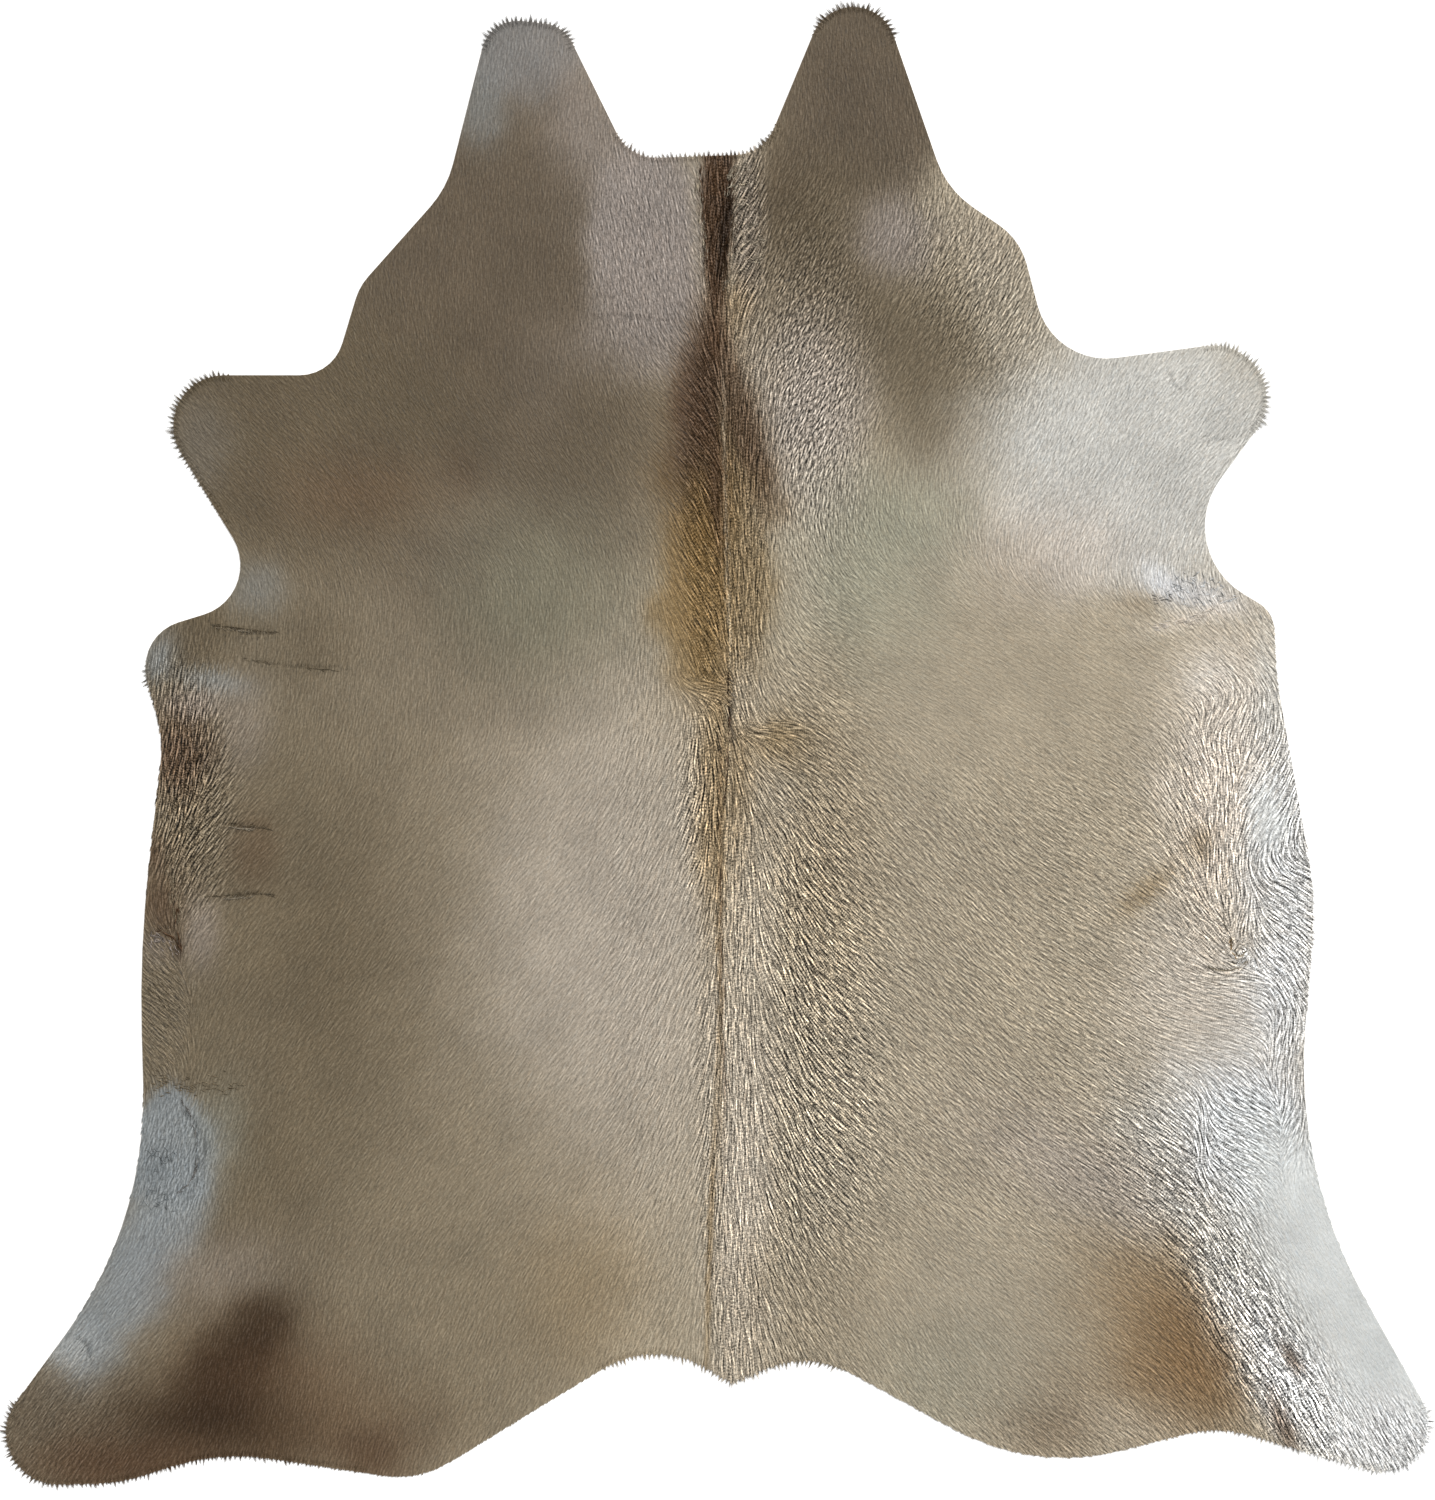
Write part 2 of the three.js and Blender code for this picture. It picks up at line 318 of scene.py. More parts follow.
# %% Folds and creases of the hide
FOLDS = table("place start end reach rise", [
    ("mane", (-0.004, 0.85), (-0.002, 0.65), 0.052, 0.0022),
    ("withers", (0.004, 0.61), (0.012, 0.08), 0.062, 0.0019),
    ("back, front half", (0.016, 0.05), (0.014, -0.43), 0.052, 0.0021),
    ("back, rear half", (0.014, -0.43), (0.02, -0.905), 0.052, 0.0021),
    ("parting, front half", (0.002, 0.04), (-0.002, -0.43), 0.012, -0.0016),
    ("parting, rear half", (-0.002, -0.43), (-0.016, -0.88), 0.01, -0.0012),
    ("break in the mane", (-0.04, 0.642), (0.012, 0.646), 0.016, -0.0016),
    ("left elbow crease", (-0.735, 0.176), (-0.63, 0.158), 0.034, -0.0015),
    ("left chest crease", (-0.68, 0.129), (-0.5, 0.111), 0.032, -0.001),
    ("left belly crease, front", (-0.715, -0.11), (-0.62, -0.118), 0.034, -0.0013),
    ("left belly crease, rear", (-0.72, -0.214), (-0.64, -0.206), 0.034, -0.0013),
    ("left flank fold", (-0.818, -0.2), (-0.782, -0.25), 0.04, 0.0018),
    ("left flank dent", (-0.785, -0.286), (-0.768, -0.3), 0.04, -0.002),
    ("left hock crease", (-0.922, -0.845), (-0.89, -0.912), 0.034, -0.0015),
    ("right elbow fold", (0.687, 0.183), (0.77, 0.224), 0.034, 0.0015),
    ("right elbow crease", (0.59, 0.196), (0.68, 0.17), 0.034, -0.0012),
    ("right foreleg crease", (0.696, 0.451), (0.77, 0.45), 0.034, -0.0012),
    ("right flank ruffle", (0.79, 0.01), (0.8, -0.15), 0.05, 0.0016),
    ("right flank whorl", (0.755, -0.29), (0.755, -0.3), 0.03, -0.002),
    ("right thigh swirl", (0.8, -0.48), (0.806, -0.58), 0.07, 0.0013),
    ("right thigh fringe", (0.69, -0.76), (0.85, -0.99), 0.06, 0.0017),
])
CREASES = table("place start end depth", [
    ("left elbow, upper", (-0.733, 0.179), (-0.639, 0.168), 0.0018),
    ("left elbow, lower", (-0.683, 0.129), (-0.52, 0.113), 0.0012),
    ("left belly, front", (-0.712, -0.11), (-0.647, -0.114), 0.0018),
    ("left belly, rear", (-0.716, -0.215), (-0.654, -0.208), 0.0018),
    ("left flank, fold's foot", (-0.828, -0.264), (-0.784, -0.254), 0.002),
    ("left flank, dent", (-0.784, -0.254), (-0.777, -0.286), 0.0022),
    ("left hock", (-0.924, -0.84), (-0.897, -0.886), 0.002),
    ("left thigh, rim above", (-0.774, -0.514), (-0.739, -0.552), 0.0016),
    ("left thigh, rim beside", (-0.738, -0.552), (-0.742, -0.61), 0.0018),
    ("left thigh, rim below", (-0.742, -0.61), (-0.777, -0.659), 0.0012),
    ("right foreleg, outer of two", (0.65, 0.548), (0.673, 0.514), 0.0012),
    ("right foreleg, inner of two", (0.673, 0.514), (0.686, 0.551), 0.0012),
    ("right foreleg, across", (0.696, 0.452), (0.769, 0.451), 0.0012),
    ("neck, highest", (0.054, 0.682), (0.119, 0.679), 0.0014),
    ("neck, second", (0.05, 0.634), (0.124, 0.63), 0.0014),
    ("neck, third", (0.06, 0.59), (0.118, 0.588), 0.001),
    ("neck, fourth", (0.06, 0.487), (0.16, 0.484), 0.0014),
    ("neck, lowest", (0.062, 0.447), (0.15, 0.443), 0.0014),
    ("neck, left side", (-0.185, 0.628), (-0.04, 0.622), 0.001),
    ("under the whorl", (0.719, -0.316), (0.767, -0.305), 0.0016),
    ("meeting of the coats", (0.0165, 0.136), (0.0185, 0.006), 0.0024),
])
print(len(FOLDS), "folds and", len(CREASES), "creases")

# %% Height of the hide
LEATHER = 0.002
UNDERHAIR = 0.0023               # the dense short hair, pressed flat, that hides the skin
UNDERHAIR_RUN = 0.070            # over which it rises from the cut edge
SWELL = 0.00045                  # how far the dried skin is from flat
SWELL_ACROSS = (0.118, 0.260)    # how slowly its first wave runs over x and over y
SWELL_ALONG = (-0.310, 0.097)    # and its second wave
FOLD_AT_EDGE = 0.25              # share of a fold's rise that is left at the cut edge
THINNEST = 0.6                   # share of the leather that the deepest crease leaves
CREASE_REACH = 0.0042
CREASE_WANDER = 0.004
CREASE_WAVE = 0.022


def in_creases(x, y):
    """How deep each place lies in the thin creases, in metres."""
    depth = np.zeros_like(x)
    stray = CREASE_WANDER * smooth_noise(x, y, CREASE_WAVE, 7)
    for row in CREASES:
        along = nearest_share(x, y, row["start"], row["end"])
        away = distance_to_run(x + stray, y + stray, row["start"], row["end"])
        taper = 1 - (2 * along - 1) ** 4
        depth = np.maximum(depth, row["depth"] * taper * (1 - smooth_rise(away, CREASE_REACH)))
    return depth


def skin_height(x, y):
    """Height of the skin with its pressed underhair, above the floor."""
    lift = smooth_rise(depth_inside(x, y), UNDERHAIR_RUN)
    swell = np.sin(x / SWELL_ACROSS[0] + y / SWELL_ACROSS[1])
    swell *= np.cos(y / SWELL_ALONG[1] + x / SWELL_ALONG[0])
    height = LEATHER + lift * (UNDERHAIR + SWELL * swell)
    for row in FOLDS:
        away = distance_to_run(x, y, row["start"], row["end"])
        share = FOLD_AT_EDGE + (1 - FOLD_AT_EDGE) * lift
        height += row["rise"] * share * (1 - smooth_rise(away, row["reach"]))
    return np.maximum(LEATHER * THINNEST, height - in_creases(x, y))


mane_height = skin_height(np.array([0.0]), np.array([0.75]))[0]
print("skin at the mane", round(1000 * float(mane_height), 2), "mm")

# %% [markdown]
# The skin itself is one leather sheet. It could be a grid cut by the outline, but it is easier
# to start from the outline: one many-sided face, scored by planes into a net, thickened
# downwards to a closed sheet, and then raised here and there by the relief. Its underside and
# its cut edge are suede, and its top is the underhair that shows between the locks.

# %% Cut the skin and raise its relief
SKIN_NET = 0.016
FINER = 3                        # cuts through each net step beside thin folds and creases
FINER_REACH = 0.016
THIN = 0.015                     # folds with a shorter reach count as thin
SAME_PLACE = 1e-7
SHARP_FROM = math.radians(40)
TOP_FINISH, SUEDE_FINISH = 0, 1  # places in the skin's list of finishes


def score(shape, direction, low, high):
    """Cuts the flat shape by parallel planes, one net step apart."""
    for place in np.arange(math.ceil(low / SKIN_NET) * SKIN_NET, high, SKIN_NET):
        everything = shape.verts[:] + shape.edges[:] + shape.faces[:]
        bmesh.ops.bisect_plane(shape, geom=everything, dist=SAME_PLACE,
                               plane_co=Vector(direction) * place, plane_no=direction)


def beside_thin_relief(x, y):
    """True for places that need a finer net."""
    thin = CREASES + [row for row in FOLDS if row["reach"] < THIN]
    away = [distance_to_run(x, y, row["start"], row["end"]) for row in thin]
    return np.min(away, axis=0) < FINER_REACH


def refine(shape):
    """Cuts the net's edges again where thin creases run."""
    middles = np.array([((edge.verts[0].co + edge.verts[1].co) / 2)[:2] for edge in shape.edges])
    fine = beside_thin_relief(*middles.T)
    chosen = [edge for edge, near in zip(shape.edges, fine) if near and not edge.is_boundary]
    bmesh.ops.subdivide_edges(shape, edges=chosen, cuts=FINER, use_grid_fill=True)


def cut_skin():
    """The sheet as an object: cut out, scored, thickened and raised."""
    shape = bmesh.new()
    corners = [shape.verts.new((x, y, 0)) for x, y in edge]
    shape.faces.new(corners)
    (low_x, low_y), (high_x, high_y) = edge.min(axis=0), edge.max(axis=0)
    score(shape, (1, 0, 0), low_x, high_x)
    score(shape, (0, 1, 0), low_y, high_y)
    refine(shape)
    for face in shape.faces:
        face.normal_flip()
        face.material_index = SUEDE_FINISH
    raised = bmesh.ops.extrude_face_region(shape, geom=shape.faces[:], use_keep_orig=True)
    top = [part for part in raised["geom"] if isinstance(part, bmesh.types.BMVert)]
    heights = skin_height(*np.array([vert.co[:2] for vert in top]).T)
    for vert, height in zip(top, heights):
        vert.co.z = height
    for part in raised["geom"]:
        if isinstance(part, bmesh.types.BMFace):
            part.material_index = TOP_FINISH
    bmesh.ops.recalc_face_normals(shape, faces=shape.faces)
    mesh = bpy.data.meshes.new("skin")
    shape.to_mesh(mesh)
    shape.free()
    mesh.shade_smooth()
    mesh.set_sharp_from_angle(angle=SHARP_FROM)
    skin = bpy.data.objects.new("skin", mesh)
    bpy.context.scene.collection.objects.link(skin)
    return skin


skin = cut_skin()
print("skin:", len(skin.data.vertices), "corners,", len(skin.data.polygons), "faces")

# %% [markdown]
# The coat's colour was dyed by nobody: it grew. Sandy hair covers the right half, a duller
# beige the left, and over them lie named patches in a small palette, each a soft oval in the
# table. Later rows lie over earlier ones. The ovals' rims are warped by noise, and on
# narrow stripes less so, so that one colour frays into the next as hair does.

# %% Palette of the coat
TONES = {
    "sand": (169, 158, 139), "beige": (124, 113, 95), "taupe": (96, 85, 68),
    "umber": (96, 85, 71), "dark umber": (44, 30, 17), "brown": (80, 61, 45),
    "russet": (104, 86, 67), "honey": (137, 117, 88), "gold": (124, 100, 64),
    "mauve": (145, 136, 129), "lavender": (160, 151, 143), "ash": (127, 125, 122),
    "slate": (136, 140, 141), "sage": (131, 128, 110), "pale sage": (148, 148, 131),
    "linen": (171, 161, 144), "cream": (181, 171, 155), "ivory": (208, 199, 187),
    "silver": (200, 198, 192), "white": (222, 222, 221), "frost": (202, 205, 212),
    "blush": (198, 186, 174), "bark": (88, 76, 60), "oyster": (176, 167, 156),
    "milk": (226, 217, 206), "pearl": (211, 213, 211), "steel": (112, 117, 119),
    "tan": (120, 94, 64), "fawn": (158, 149, 133), "straw": (206, 190, 162),
    "walnut": (100, 82, 58),
}
print(len(TONES), "colours on the palette")

# %% Patches of colour
# Some rows are painted shade, not the hair's colour: the shadows beside the parting and where the coats
# meet, and the shaded edge and the shade above the fold on the left flank.
PATCHES = table("place at reach tone amount fade turn", [
    ("left half", (-0.93, -0.1), (0.66, 1.5), "beige", 1.0, 0.12),
    ("left flank, dull", (-0.78, -0.25), (0.22, 0.6), "taupe", 0.4, 0.3),
    ("left body, upper", (-0.42, 0.2), (0.26, 0.16), "linen", 0.28, 0.3),
    ("light beside the back", (-0.155, -0.28), (0.19, 0.38), "oyster", 0.75),
    ("right of the back", (0.12, -0.4), (0.08, 0.46), "fawn", 0.8, 0.3),
    ("left body, lower", (-0.36, -0.62), (0.17, 0.16), "beige", 0.55, 0.3),
    ("left of neck", (-0.32, 0.63), (0.24, 0.5), "umber", 0.97, 0.14),
    ("left of neck, rear", (-0.24, 0.545), (0.05, 0.07), "mauve", 0.22, 0.3),
    ("left foreleg", (-0.62, 0.46), (0.28, 0.19), "taupe", 0.95, 0.15),
    ("left shoulder, lighter", (-0.4, 0.345), (0.05, 0.05), "linen", 0.18, 0.4),
    ("left flap's tip", (-0.285, 1.03), (0.09, 0.085), "ash", 0.95, 0.15),
    ("left flap, bluish", (-0.34, 0.93), (0.035, 0.05), "slate", 0.6),
    ("left flap, inner side", (-0.18, 0.9), (0.06, 0.13), "mauve", 0.7, 0.3, 20),
    ("mauve block", (-0.105, 0.72), (0.088, 0.165), "mauve", 0.97, 0.08),
    ("under the mauve block", (-0.11, 0.585), (0.08, 0.05), "mauve", 0.8, 0.3),
    ("neck, right of the mane", (0.095, 0.74), (0.06, 0.17), "bark", 0.6),
    ("neck, beside the curls", (0.11, 0.82), (0.045, 0.09), "bark", 0.85, 0.3),
    ("right flap", (0.213, 0.95), (0.122, 0.19), "umber", 1.0, 0.1),
    ("right of neck, dark", (0.185, 0.7), (0.09, 0.15), "taupe", 0.95, 0.2),
    ("right shoulder, dark", (0.312, 0.562), (0.11, 0.13), "taupe", 0.8, 0.22),
    ("right of neck, mauve", (0.255, 0.745), (0.055, 0.055), "mauve", 0.85),
    ("right shoulder's edge", (0.415, 0.68), (0.04, 0.11), "lavender", 0.3, 0.3, 27),
    ("left of the withers", (-0.165, 0.44), (0.11, 0.13), "taupe", 0.55, 0.3),
    ("mottled mauve", (0.135, 0.47), (0.075, 0.15), "lavender", 0.8),
    ("left greenish tint", (-0.26, 0.235), (0.12, 0.11), "sage", 0.7, 0.3),
    ("right greenish tint", (0.205, 0.25), (0.1, 0.11), "pale sage", 0.65, 0.3),
    ("right of the withers, pale", (0.112, 0.255), (0.03, 0.06), "cream", 0.35, 0.35),
    ("right chest, greenish", (0.285, 0.34), (0.08, 0.06), "pale sage", 0.6, 0.35),
    ("curls right of the mane", (0.044, 0.755), (0.02, 0.125), "mauve", 0.5),
    ("curls, lower", (0.03, 0.65), (0.022, 0.035), "honey", 0.5, 0.35),
    ("mane, left rim", (-0.034, 0.76), (0.006, 0.1), "linen", 0.4, 0.3, 4),
    ("mane, upper", (-0.002, 0.83), (0.024, 0.13), "brown", 1.0, 0.1),
    ("mane, lower", (-0.002, 0.7), (0.013, 0.068), "brown", 1.0, 0.15),
    ("mane, darkest", (0.013, 0.765), (0.009, 0.08), "dark umber", 1.0, 0.2, -6),
    ("break in the mane", (-0.008, 0.643), (0.014, 0.007), "linen", 0.7, 0.3),
    ("withers, halo", (-0.008, 0.4), (0.078, 0.11), "walnut", 0.95, 0.2),
    ("withers, honey", (-0.006, 0.235), (0.08, 0.165), "gold", 0.8, 0.13),
    ("withers, right honey", (0.042, 0.28), (0.026, 0.2), "fawn", 0.35),
    ("withers, right top", (0.034, 0.505), (0.024, 0.135), "brown", 0.7, 0.2, 17),
    ("withers, brown", (-0.031, 0.525), (0.031, 0.115), "brown", 0.95, 0.2, -10),
    ("withers, brown top", (-0.006, 0.605), (0.013, 0.038), "brown", 0.9),
    ("withers, brown streak", (-0.006, 0.42), (0.014, 0.1), "brown", 0.85, 0.3, 4),
    ("withers, pale line", (0.0125, 0.31), (0.002, 0.24), "cream", 0.55, 0.3, 1.5),
    ("honey fan", (0.062, 0.015), (0.052, 0.03), "gold", 0.62, 0.4),
    ("right of the meeting, dull", (0.15, -0.12), (0.07, 0.22), "honey", 0.3, 0.3),
    ("back", (0.03, -0.43), (0.05, 0.5), "cream", 0.9, 0.15),
    ("back, rear", (0.032, -0.7), (0.036, 0.25), "ivory", 0.5, 0.3),
    ("honey behind the meeting", (-0.006, -0.085), (0.02, 0.13), "gold", 0.5, 0.3),
    ("parting, front", (0.0036, -0.22), (0.003, 0.28), "honey", 0.65, 0.3),
    ("parting, rear", (-0.01, -0.71), (0.0034, 0.2), "honey", 0.7, 0.3, -2),
    ("parting, shadow", (0.0052, -0.26), (0.0012, 0.26), "brown", 0.6, 0.3, 1),
    ("parting, pale line", (0.0155, -0.1), (0.0022, 0.13), "cream", 0.8, 0.3),
    ("meeting, shadow", (0.0162, 0.07), (0.002, 0.045), "dark umber", 0.75, 0.3),
    ("meeting, light", (0.03, 0.08), (0.018, 0.038), "cream", 0.8, 0.4),
    ("honey beside the parting", (0.028, -0.04), (0.02, 0.085), "gold", 0.4, 0.4),
    ("left foreleg, pale", (-0.745, 0.44), (0.04, 0.06), "ash", 0.35, 0.3),
    ("left shoulder, reddish", (-0.53, 0.375), (0.09, 0.05), "russet", 0.8, 0.35),
    ("left shoulder's spot", (-0.372, 0.403), (0.028, 0.04), "brown", 0.25, 0.3),
    ("behind left foreleg, pale", (-0.668, 0.237), (0.04, 0.03), "slate", 0.5, 0.3),
    ("left elbow", (-0.77, 0.16), (0.075, 0.055), "taupe", 0.9, 0.2),
    ("left elbow, pale tip", (-0.806, 0.137), (0.02, 0.032), "slate", 0.75, 0.3, -25),
    ("left elbow, pale band", (-0.728, 0.103), (0.05, 0.015), "slate", 0.7, 0.3, -12),
    ("left chest, dull", (-0.585, 0.165), (0.058, 0.06), "taupe", 0.55, 0.35),
    ("left elbow, mauve", (-0.758, 0.072), (0.042, 0.018), "mauve", 0.7, 0.3),
    ("left chest, pale mauve", (-0.683, 0.035), (0.034, 0.06), "mauve", 0.45, 0.3),
    ("left belly, dark", (-0.775, 0.0), (0.042, 0.055), "brown", 0.8),
    ("left belly, spot", (-0.668, -0.146), (0.03, 0.045), "brown", 0.45, 0.3),
    ("left flank, brown", (-0.79, -0.2), (0.04, 0.08), "russet", 0.3, 0.3),
    ("left flank's dent", (-0.779, -0.284), (0.007, 0.012), "dark umber", 0.85, 0.3),
    ("left flank, mauve", (-0.745, -0.262), (0.026, 0.052), "mauve", 0.6),
    ("left flank, shaded edge", (-0.806, -0.222), (0.024, 0.034), "brown", 0.6, 0.3),
    ("left flank, shade above", (-0.81, -0.146), (0.011, 0.022), "brown", 0.65, 0.35),
    ("left flank, pale tuft", (-0.815, -0.284), (0.017, 0.02), "mauve", 0.35, 0.3),
    ("left flank's band", (-0.56, -0.31), (0.095, 0.22), "taupe", 0.6, 0.35),
    ("left flank, rear", (-0.75, -0.385), (0.1, 0.1), "taupe", 0.05, 0.2),
    ("left thigh, slate", (-0.79, -0.572), (0.065, 0.085), "slate", 0.97, 0.07),
    ("left thigh, greenish", (-0.712, -0.545), (0.036, 0.06), "sage", 0.45, 0.3),
    ("left thigh, dull", (-0.65, -0.66), (0.075, 0.13), "taupe", 0.5, 0.3),
    ("left thigh, mottled", (-0.806, -0.611), (0.034, 0.028), "steel", 0.85),
    ("left thigh, pale band", (-0.832, -0.726), (0.058, 0.19), "slate", 0.97, 0.18, -30),
    ("left buttock, dull mauve", (-0.71, -0.755), (0.08, 0.045), "mauve", 0.5, 0.4, 10),
    ("left buttock, umber", (-0.698, -0.886), (0.1, 0.058), "dark umber", 0.94, 0.22, 48),
    ("left buttock, umber top", (-0.65, -0.838), (0.03, 0.045), "dark umber", 0.35, 0.3),
    ("left buttock, shade", (-0.63, -0.93), (0.15, 0.08), "brown", 0.65, 0.35),
    ("left heel", (-0.715, -0.975), (0.165, 0.048), "dark umber", 0.75, 0.28),
    ("left heel, reddish", (-0.5, -0.965), (0.125, 0.08), "russet", 0.85),
    ("left heel, brown spot", (-0.488, -1.0), (0.048, 0.04), "brown", 0.75),
    ("left hind foot", (-0.95, -0.965), (0.1, 0.085), "umber", 0.58, 0.15),
    ("left sole", (-0.845, -1.03), (0.12, 0.04), "brown", 0.9, 0.3),
    ("left hock", (-0.918, -0.858), (0.05, 0.04), "slate", 0.95, 0.3),
    ("left hock, pale", (-0.928, -0.868), (0.034, 0.028), "silver", 0.32, 0.3),
    ("left rump", (-0.36, -0.86), (0.17, 0.15), "beige", 0.8),
    ("left rump, honey", (-0.185, -0.77), (0.08, 0.1), "honey", 0.45, 0.35),
    ("right foreleg", (0.62, 0.43), (0.24, 0.2), "silver", 1.0, 0.12),
    ("right shoulder, dull", (0.43, 0.635), (0.075, 0.05), "fawn", 0.75, 0.3, -50),
    ("right chest, blush", (0.48, 0.29), (0.1, 0.06), "blush", 0.6, 0.4),
    ("behind right elbow", (0.6, 0.13), (0.18, 0.06), "sand", 0.85),
    ("right elbow, bright", (0.637, 0.25), (0.03, 0.018), "white", 0.9, 0.3, -40),
    ("right elbow's ruffle", (0.69, 0.227), (0.06, 0.02), "frost", 0.6, 0.3, -10),
    ("right elbow, brown shade", (0.605, 0.214), (0.03, 0.014), "honey", 0.35, 0.35),
    ("right elbow, light fold", (0.69, 0.196), (0.062, 0.009), "milk", 0.55, 0.35, 18),
    ("right flank, calm pale", (0.706, 0.105), (0.03, 0.028), "pearl", 0.4, 0.3),
    ("right flank", (0.735, -0.05), (0.09, 0.21), "milk", 0.95),
    ("right flank, lower", (0.72, -0.37), (0.12, 0.14), "ivory", 0.85, 0.3),
    ("right edge", (0.825, -0.19), (0.055, 0.26), "white", 0.95),
    ("right edge, high", (0.797, 0.095), (0.024, 0.085), "silver", 0.55, 0.3, 5),
    ("right flank, pale", (0.8, -0.095), (0.028, 0.052), "pearl", 0.7),
    ("right edge, low", (0.8, -0.345), (0.05, 0.07), "white", 0.75, 0.3),
    ("right flank, brown shade", (0.6105, -0.2), (0.042, 0.013), "honey", 0.65, 0.35, 43),
    ("right flank, brown spot", (0.695, -0.125), (0.018, 0.022), "honey", 0.5, 0.4),
    ("right thigh, frost", (0.76, -0.56), (0.11, 0.1), "frost", 0.9),
    ("right thigh, pale", (0.645, -0.53), (0.06, 0.05), "silver", 0.5, 0.4),
    ("right thigh, white", (0.72, -0.72), (0.045, 0.085), "white", 0.55, 0.3, 25),
    ("right thigh, white edge", (0.735, -0.785), (0.036, 0.065), "white", 0.95, 0.3, 35),
    ("right hind leg", (0.9, -0.78), (0.12, 0.33), "pearl", 1.0, 0.12, 30),
    ("right thigh, lavender", (0.54, -0.62), (0.15, 0.06), "lavender", 0.7, 0.4, -25),
    ("right buttock, halo", (0.56, -0.83), (0.1, 0.085), "honey", 0.45, 0.4),
    ("right buttock, gold top", (0.625, -0.79), (0.1, 0.06), "tan", 0.65, 0.3, -20),
    ("right buttock, gold", (0.68, -0.885), (0.112, 0.085), "tan", 0.95),
    ("right buttock, tan core", (0.672, -0.842), (0.055, 0.028), "tan", 0.75, 0.3, -40),
    ("right thigh fringe", (0.728, -0.75), (0.04, 0.17), "silver", 0.75, 0.3, 30),
    ("right thigh fringe, white", (0.82, -0.9), (0.052, 0.14), "white", 1.0, 0.25, 32),
    ("brown tuft, upper", (0.82, -0.868), (0.008, 0.022), "brown", 0.6, 0.4, 35),
    ("brown tuft, lower", (0.812, -0.965), (0.01, 0.042), "brown", 0.65, 0.4, 20),
    ("right hind foot", (0.97, -0.99), (0.09, 0.06), "white", 0.9, 0.2),
    ("right heel, pink brown", (0.48, -0.965), (0.06, 0.045), "russet", 0.55, 0.35),
    ("right heel, cream", (0.605, -0.968), (0.065, 0.035), "cream", 0.5, 0.4),
    ("right rump, greenish", (0.32, -0.885), (0.09, 0.07), "pale sage", 0.6, 0.3),
    ("right rump, honey", (0.165, -0.8), (0.1, 0.09), "honey", 0.35, 0.4),
    ("right rump", (0.36, -0.82), (0.22, 0.13), "fawn", 0.7, 0.3),
], fade=USUAL_FADE, turn=0)
print(len(PATCHES), "patches over the sand")

# %% The coat's colour at any place
FRAY = 0.012                     # how far the patches' rims wander
FRAY_WAVES = (0.05, 0.02)        # sizes of the wandering, coarse and fine
FRAY_FREE = 0.06                 # patches narrower than this wander less
CLOUD, CLOUD_SIZE = 0.035, 0.06  # soft uneven light over the whole coat
FLECK, FLECK_SIZE = 0.03, 0.018
# painted shade: the coat's colour is darkened in the creases
CREASE_SHADE = 130.0             # share of colour lost for each metre of crease depth
DARKEST_CREASE = 0.5
SCREEN = 2.2                     # how a screen bends light values
DEEPER = 1.14                    # the light washes colours out a little, and this makes up for it
COAT_GAIN = 0.712                # how bright the coat is for the studio's light
BLACKEST, WHITEST = 0.002, 0.95


def linear(tone):
    """A palette colour, from 0 to 255 as on a screen, in the light values that Blender mixes."""
    share = np.asarray(tone, float) / 255
    return np.where(share <= 0.04045, share / 12.92, ((share + 0.055) / 1.055) ** 2.4)


def lit(colour):
    """Palette colours as the finish needs them under the studio's light."""
    light = linear(np.clip(colour, 0, 255))
    grey = light.mean(axis=-1, keepdims=True)
    return np.clip(COAT_GAIN * (grey + DEEPER * (light - grey)), BLACKEST, WHITEST)


def wander(x, y, seed):
    """How far the patches' rims wander at each place, one way."""
    coarse, fine = [smooth_noise(x, y, size, seed + k) for k, size in enumerate(FRAY_WAVES)]
    return FRAY * (coarse + 0.5 * fine)


def coat_colour(x, y):
    """Linear colour of the coat at each place, with painted shade in the creases."""
    stray_x, stray_y = wander(x, y, 1), wander(x, y, 3)
    colour = np.array(TONES["sand"], float) * np.ones((len(x), 1))
    for row in PATCHES:
        stray = min(1.0, min(row["reach"]) / FRAY_FREE)
        weight = row["amount"] * soft_oval(x + stray * stray_x, y + stray * stray_y, row)
        colour += weight[:, None] * (np.array(TONES[row["tone"]], float) - colour)
    mottle = 1 + CLOUD * smooth_noise(x, y, CLOUD_SIZE, 5) + FLECK * smooth_noise(x, y, FLECK_SIZE, 6)
    # painted shade in the creases
    shade = 1 - np.minimum(DARKEST_CREASE, CREASE_SHADE * in_creases(x, y))
    return lit(colour * (mottle * shade)[:, None])


print("colour on the back", coat_colour(np.array([0.03]), np.array([-0.4])).round(3))

# %% [markdown]
# Hair on a hide lies in streams. It runs back from the neck to a line across the withers where
# it meets, fans out again from there to both sides, and turns in whorls on the right flank.
# Each row below combs one area: a place, a reach, and the heading of the tips in degrees,
# where 0 points right and -90 to the tail. A whorl has a twist instead, by which its hair turns
# away from the middle. Between the rows the headings blend.

